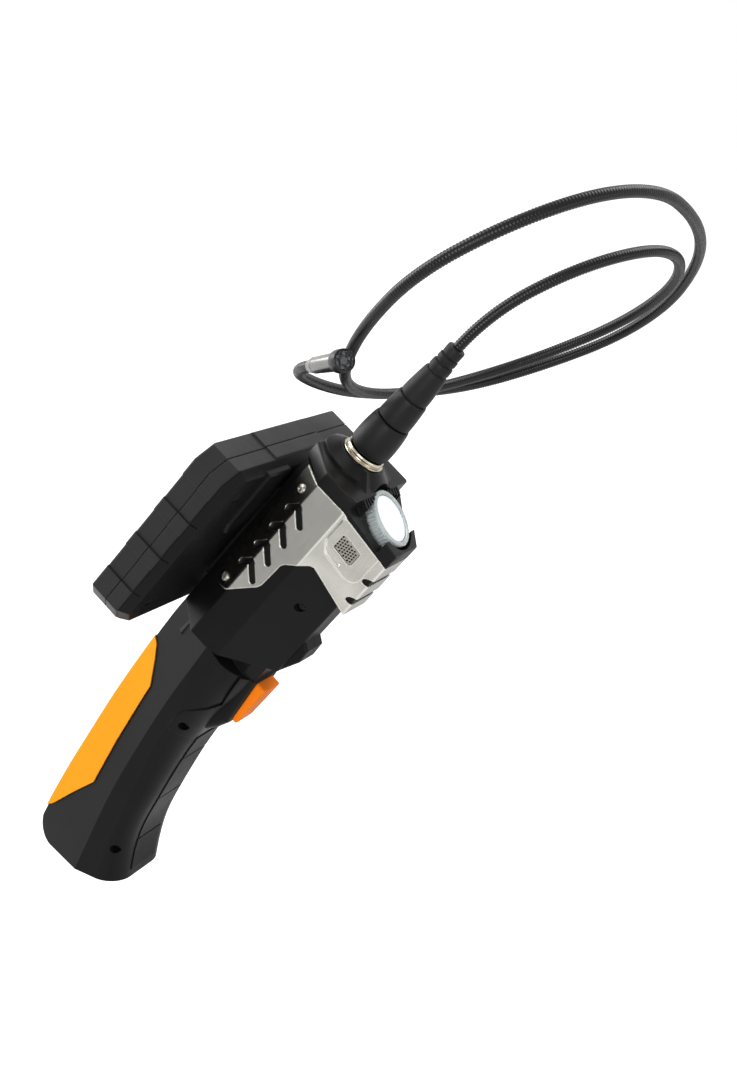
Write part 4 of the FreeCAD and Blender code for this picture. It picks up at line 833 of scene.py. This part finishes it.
# ---------------------------------------------------------------- head
@dataclass
class Socket:
    """Nickel collar of the probe socket: a low flange, a groove and a ring with a rounded lip.

    Args:
        collar: (radius, height) outline in millimetres.
    """

    collar: Outline = (
        (7.15, 96.15), (8.6, 96.15), (8.75, 96.3), (8.75, 96.7), (8.6, 96.85), (7.75, 96.9), (7.65, 97.0),
        (7.65, 97.35), (7.75, 97.45), (7.95, 97.55), (8.0, 97.7), (8.0, 98.5), (7.85, 98.72), (7.65, 98.8),
        (7.15, 98.8), (7.15, 96.15))

    def build(self) -> None:
        """Turn the collar, and dress the insert it is screwed on."""
        publish("socket_ring", placed(spun(self.collar), lifted(0, SOCKET_Y, 0)), [NICKEL], ["socket_collar"])
        keep("socket_insert", BLACK_BEZEL)


@dataclass
class WorkLamp:
    """Work lamp: ribbed clear collar, diffuser and finned body.

    Args:
        rim: middle of its front rim, in millimetres.
        tilt: degrees from the head's axis towards the finger side.
        radius: of the collar's rim.
        depth: of the collar.
        gap: between the collar's foot and the body.
        ribs: how many fine ribs go round the collar.
        rib_steps: steps of the mesh to one rib.
        rib_deep: half the depth of the grooves between them.
        ribs_beyond: how far from the axis the ribs are.
        ribs_below: how high they go, counted from the rim.
    """

    rim: Triple = (0.0, 14.7, 87.4)
    tilt: float = 21.0
    radius: float = 11.3
    depth: float = 6.6
    gap: float = 0.02
    ribs: int = 44
    rib_steps: int = 4
    rib_deep: float = 0.16
    ribs_beyond: float = 10.6
    ribs_below: float = -1.4

    def on_axis(self, mesh: bmesh.types.BMesh) -> bmesh.types.BMesh:
        """Put a shape that is built about the origin on the lamp's rim and axis."""
        tilt = math.radians(self.tilt)
        return placed(mesh, lifted(*self.rim), Vector((0, math.sin(tilt), math.cos(tilt))))

    def collar(self) -> bmesh.types.BMesh:
        """Clear collar, with ribs below its rim.

        Returns:
            The collar, about the origin.
        """
        low = self.gap - self.depth
        mesh = spun([(8.0, low), (10.55, low), (10.85, low + 0.28), (10.9, -1.6), (11.25, -1.25),
                     (self.radius, -0.7), (11.2, -0.25), (10.9, 0.0), (9.75, 0.0), (9.45, -0.25),
                     (9.42, -3.9), (8.0, -3.9), (8.0, low)], steps=self.ribs * self.rib_steps)
        for vert in mesh.verts:
            reach = math.hypot(vert.co.x, vert.co.y)
            if reach > self.ribs_beyond * MM and vert.co.z < self.ribs_below * MM:
                cut = self.rib_deep * MM * (1 - math.cos(self.ribs * math.atan2(vert.co.y, vert.co.x)))
                vert.co.x *= 1 - cut / reach
                vert.co.y *= 1 - cut / reach
        return mesh

    def build(self) -> None:
        """Build the collar and the diffuser, and dress the body."""
        publish("lamp_ribbed_collar", self.on_axis(self.collar()), [LAMP_CLEAR], ["lamp_collar"])
        dome = spun([(0, -2.5), (9.25, -2.5), (9.25, -0.9), (9.05, -0.62), (8.2, -0.5), (6.0, -0.34),
                     (3.0, -0.24), (0, -0.2)])
        publish("lamp_diffuser_disc", self.on_axis(dome), [LAMP_LENS], ["lamp_lens"])
        keep("lamp_body", LAMP_METAL)
        keep("lamp_board", LED)


@dataclass
class Bezel:
    """Front plate with the open step that the work lamp stands in.

    Args:
        lamp: the work lamp.
        room: radius and depth of the round room behind the lamp, in millimetres.
        back: where the step's back wall stands along Y.
        front: where the step ends.
        width: more than the plate's own.
        low: height of the step's floor at its back.
        fall: how much the floor falls to a millimetre.
        ribs_from: half-width at which the ribs of the back wall start.
        rib_pitch: from one rib to the next.
        rib_count: how many stand on each side of the lamp.
        rib_size: thickness, reach of the innermost one, and height.
        rib_longer: how much further each next one reaches.
        sunk: how far the ribs go into the wall, and into the floor.
        clear: how far the cuts reach past the plate.
    """

    lamp: WorkLamp
    room: tuple[float, float] = (12.0, 7.0)
    back: float = 5.4
    front: float = 21.6
    width: float = 70.0
    low: float = 86.9
    fall: float = 0.446
    ribs_from: float = 4.6
    rib_pitch: float = 2.1
    rib_count: int = 6
    rib_size: Triple = (0.8, 1.2, 4.3)
    rib_longer: float = 0.5
    sunk: tuple[float, float] = (0.4, 0.1)
    clear: float = 20.0

    def block(self, size: Triple, corner: Triple) -> bmesh.types.BMesh:
        """Block whose floor falls towards the front.

        Args:
            size: width, length and height in millimetres.
            corner: middle of its floor's back edge.

        Returns:
            The block.
        """
        mesh = bmesh.new()
        bmesh.ops.create_cube(mesh, size=MM)
        bmesh.ops.translate(mesh, verts=mesh.verts[:], vec=(0, MM / 2, MM / 2))
        bmesh.ops.scale(mesh, verts=mesh.verts[:], vec=size)
        lean = Matrix.Identity(4)
        lean[2][1] = -self.fall
        bmesh.ops.transform(mesh, matrix=Matrix.Translation(lifted(*corner)) @ lean, verts=mesh.verts[:])
        return mesh

    def ribs(self) -> list[bmesh.types.BMesh]:
        """Upright ribs on the step's back wall, both sides of the lamp.

        Returns:
            The ribs, in their places.
        """
        thick, reach, tall = self.rib_size
        into_wall, into_floor = self.sunk
        made = []
        for index in range(self.rib_count):
            across = self.ribs_from + index * self.rib_pitch
            size = (thick, reach + self.rib_longer * index, tall)
            for side in (across, -across):
                made.append(self.block(size, (side, self.back - into_wall, self.low - into_floor)))
        return made

    def build(self) -> None:
        """Cut the step out of the plate, and stand the ribs in it."""
        step = self.block((self.width, self.front - self.back, self.clear), (0, self.back, self.low))
        radius, deep = self.room
        room = self.lamp.on_axis(spun([(0, -deep), (radius, -deep), (radius, self.clear), (0, self.clear)]))
        plate = joined([carved("front_bezel", [step, room])] + self.ribs())
        publish("bezel_plate", plate, [BLACK_BEZEL], ["front_bezel"], smooth=30.0)


@dataclass
class ShroudScrews:
    """Pan-head screws with a cross recess on the shroud's flanges.

    Args:
        heights: of the lower and the upper pair, in millimetres.
        mid: place across and along of the middle of the right flange.
        steel: thickness of the flange under the heads.
        recess_from: height from which the cross cuts the head.
        recess_half: half-width of the cross.
        recess_deep: its depth.
    """

    heights: tuple[float, float] = (30.2, 78.3)
    mid: tuple[float, float] = (19.8, -13.4)
    steel: float = 0.6
    recess_from: float = 0.85
    recess_half: float = 0.22
    recess_deep: float = 0.45

    def one(self) -> bmesh.types.BMesh:
        """One screw about the origin, with its head up Z.

        Returns:
            The screw.
        """
        screw = spun([(0, -5.4), (0.85, -5.4), (0.85, 0.0), (1.8, 0.0), (1.8, 0.35), (1.72, 0.6), (1.45, 0.8),
                      (1.05, 0.9), (0, 0.92)], steps=40)
        for vert in screw.verts:
            off_centre = min(abs(vert.co.x), abs(vert.co.y))
            if vert.co.z > self.recess_from * MM and off_centre < self.recess_half * MM:
                vert.co.z -= self.recess_deep * MM
        return screw

    def build(self) -> None:
        """Place the four screws."""
        out = Vector((1, -1, 0)).normalized()
        screws = []
        for height in self.heights:
            for side in (1, -1):
                flip = Vector((side, 1, 1))
                point = lifted(*self.mid, height) + out * self.steel * MM
                screws.append(placed(self.one(), point * flip, out * flip))
        publish("shroud_screw_heads", joined(screws), [SCREW_STEEL], ["shroud_screws"])


@dataclass
class ButtonSpring:
    """Coil spring behind the power button, which shortens as the button goes in.

    Args:
        node: the spring's node, which keeps its shape.
    """

    node: str = "button_spring"

    def build(self) -> None:
        """Dress the spring, and give it a mesh of its own."""
        spring = keep(self.node, SPRING_STEEL)
        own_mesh(spring)


# ---------------------------------------------------------------- studio
@dataclass(frozen=True)
class Softbox:
    """Square lamp that looks at the object's middle.

    Args:
        name: its name.
        at: its place in metres.
        side: its side in metres.
        watts: its power.
    """

    name: str
    at: Triple
    side: float
    watts: float

    def hang(self, target: Vector) -> None:
        """Hang the lamp.

        Args:
            target: what it looks at.
        """
        data = bpy.data.lights.new(self.name, "AREA")
        data.shape = "SQUARE"
        data.size = self.side
        data.energy = self.watts
        at = Vector(self.at)
        turn = (target - at).to_track_quat("-Z", "Y").to_matrix().to_4x4()
        in_scene(self.name, data).matrix_world = Matrix.Translation(at) @ turn


@dataclass(frozen=True)
class Card:
    """Card that lies just above the floor and only shows as a reflection.

    Args:
        name: its name.
        at: its middle across and along, in metres.
        above: its height above the floor.
        side: its side in metres.
        level: how bright it is.
    """

    name: str
    at: tuple[float, float]
    above: float
    side: float
    level: float

    def lay(self, floor_z: float) -> None:
        """Lay the card.

        Args:
            floor_z: height of the floor.
        """
        mesh = bmesh.new()
        bmesh.ops.create_grid(mesh, x_segments=1, y_segments=1, size=self.side / 2)
        bmesh.ops.translate(mesh, verts=mesh.verts[:], vec=(*self.at, floor_z + self.above))
        obj = in_scene_from(self.name, mesh)
        obj.visible_camera = obj.visible_diffuse = obj.visible_shadow = obj.visible_transmission = False
        shader = matt_material(obj, 0.0)
        shader.inputs["Emission Strength"].default_value = self.level


def matt_material(obj: bpy.types.Object, grey: float) -> bpy.types.Node:
    """Give a staging object a matt grey material that can also shine white.

    Args:
        obj: the object, whose name the material takes.
        grey: how much light it gives back.

    Returns:
        The material's shader.
    """
    material = bpy.data.materials.new(obj.name)
    material.use_nodes = True
    shader = material.node_tree.nodes[PRINCIPLED]
    shader.inputs["Base Color"].default_value = (grey, grey, grey, 1)
    shader.inputs["Roughness"].default_value = 0.9
    shader.inputs["Specular IOR Level"].default_value = 0.0
    shader.inputs["Emission Color"].default_value = (1, 1, 1, 1)
    obj.data.materials.append(material)
    return shader


def white_for_the_eye(tree: bpy.types.NodeTree) -> bpy.types.NodeSocket:
    """Value that is 1 for camera, glossy and transmission rays, and 0 for the light that falls on things.

    Args:
        tree: the node tree it is added to.

    Returns:
        The socket with the value.
    """
    path = tree.nodes.new("ShaderNodeLightPath")
    seen = path.outputs["Is Camera Ray"]
    for kind in ("Is Glossy Ray", "Is Transmission Ray"):
        either = tree.nodes.new("ShaderNodeMath")
        either.operation = "MAXIMUM"
        tree.links.new(seen, either.inputs[0])
        tree.links.new(path.outputs[kind], either.inputs[1])
        seen = either.outputs[0]
    return seen


@dataclass
class Studio:
    """Camera, lamps, floor and world.

    Args:
        eye: place of the camera in metres.
        right: direction of the picture's right.
        back: direction from the object to the camera.
        lens: focal length in millimetres on a sensor 36 mm wide.
        target: middle of the object, which the lamps look at.
        floor_z: height of the floor.
        floor_radius: of the round floor.
        floor_grey: how much light the floor gives back.
        ambient: strength of the world as a light.
        softboxes: the lamps.
        cards: the cards that only reflections show.
    """

    eye: Triple = (0.5068374, 0.0997176, 0.3725592)
    right: Triple = (-0.4035, 0.68, 0.6122)
    back: Triple = (0.8951, 0.1546, 0.4182)
    lens: float = 51.22
    target: Triple = (0.0, 0.0, 0.09)
    floor_z: float = -0.32
    floor_radius: float = 6.0
    floor_grey: float = 0.4
    ambient: float = 0.4
    softboxes: tuple[Softbox, ...] = (
        Softbox("key", (0.25, -1.7, 0.35), 1.1, 25.0),
        Softbox("top", (-0.8, -0.3, 1.7), 1.2, 22.0),
        Softbox("front", (0.5, 1.8, 0.9), 1.1, 7.0),
        Softbox("near", (1.7, 0.1, 0.5), 0.8, 18.0))
    cards: tuple[Card, ...] = (
        Card("back_card", (0.0, -1.35), 0.01, 0.9, 9.0),
        Card("side_flag", (1.0, -0.25), 0.01, 0.9, 0.45),
        Card("facet_flag", (0.62, 0.9), 0.02, 0.5, 0.6),
        Card("front_flag", (-0.9, 0.15), 0.03, 0.8, 0.6))

    def camera(self) -> None:
        """Set up the camera at the viewing angle."""
        data = bpy.data.cameras.new("camera")
        data.lens = self.lens
        data.sensor_width = 36.0
        data.clip_start = 0.01
        data.clip_end = 20.0
        obj = in_scene("camera", data)
        back = Vector(self.back).normalized()
        right = (Vector(self.right) - back * Vector(self.right).dot(back)).normalized()
        turn = Matrix((right, back.cross(right), back)).transposed().to_4x4()
        obj.matrix_world = Matrix.Translation(Vector(self.eye)) @ turn
        bpy.context.scene.camera = obj

    def world(self) -> None:
        """Plain world: white to look at, softer as a light."""
        world = bpy.data.worlds.new("studio")
        bpy.context.scene.world = world
        world.use_nodes = True
        tree = world.node_tree
        background = tree.nodes["Background"]
        background.inputs["Color"].default_value = (1, 1, 1, 1)
        level = tree.nodes.new("ShaderNodeMapRange")
        level.inputs["To Min"].default_value = self.ambient
        level.inputs["To Max"].default_value = 1.0
        tree.links.new(white_for_the_eye(tree), level.inputs["Value"])
        tree.links.new(level.outputs["Result"], background.inputs["Strength"])

    def floor(self) -> None:
        """Pale floor under the object; it takes the object's shadow."""
        mesh = bmesh.new()
        bmesh.ops.create_circle(mesh, cap_ends=True, segments=96, radius=self.floor_radius)
        bmesh.ops.translate(mesh, verts=mesh.verts[:], vec=(0, 0, self.floor_z))
        obj = in_scene_from("floor", mesh)
        shader = matt_material(obj, self.floor_grey)
        tree = obj.data.materials[0].node_tree
        tree.links.new(white_for_the_eye(tree), shader.inputs["Emission Strength"])

    def build(self) -> None:
        """Set the whole studio."""
        self.camera()
        self.world()
        self.floor()
        for softbox in self.softboxes:
            softbox.hang(Vector(self.target))
        for card in self.cards:
            card.lay(self.floor_z)
        bpy.context.scene.view_settings.view_transform = "Standard"


# ---------------------------------------------------------------- whole
KEPT: dict[str, Finish] = {
    "handle_right_shell": BLACK_SHELL, "handle_left_shell": BLACK_SHELL, "palm_pad": PALM,
    "finger_grip": GRIP, "battery_door": BLACK_SHELL, "battery_cells": CELL_JACKET, "contact_board": BOARD,
    "button_switch": BOARD, "power_button": BUTTON, "case_screws": BLACK_OXIDE,
    "head_right_shell": BLACK_SHELL, "head_left_shell": BLACK_SHELL, "steel_shroud": STEEL,
    "mesh_plates": MESH_STEEL, "main_board": BOARD, "dock_plate": BLACK_SHELL,
    "bumper": BUMPER, "screen_frame": BLACK_SHELL, "back_cover": BLACK_SHELL, "screen_window": SCREEN,
    "screen_panel": PANEL, "display_board": BOARD, "display_cell": FOIL, "display_screws": BLACK_OXIDE,
    **{f"key_{number}": KEYPAD for number in range(1, 6)},
}


def main() -> None:
    """Build the studio, the cord and its pieces, and then the rest."""
    logging.basicConfig(level=logging.INFO, format="%(message)s")
    Studio().build()
    neck = Gooseneck()
    neck.build(Plug().build() + CameraHead(neck).build())
    Socket().build()
    lamp = WorkLamp()
    lamp.build()
    Bezel(lamp).build()
    ShroudScrews().build()
    ButtonSpring().build()
    for node, finish in KEPT.items():
        keep(node, finish)


if __name__ == "__main__":
    main()
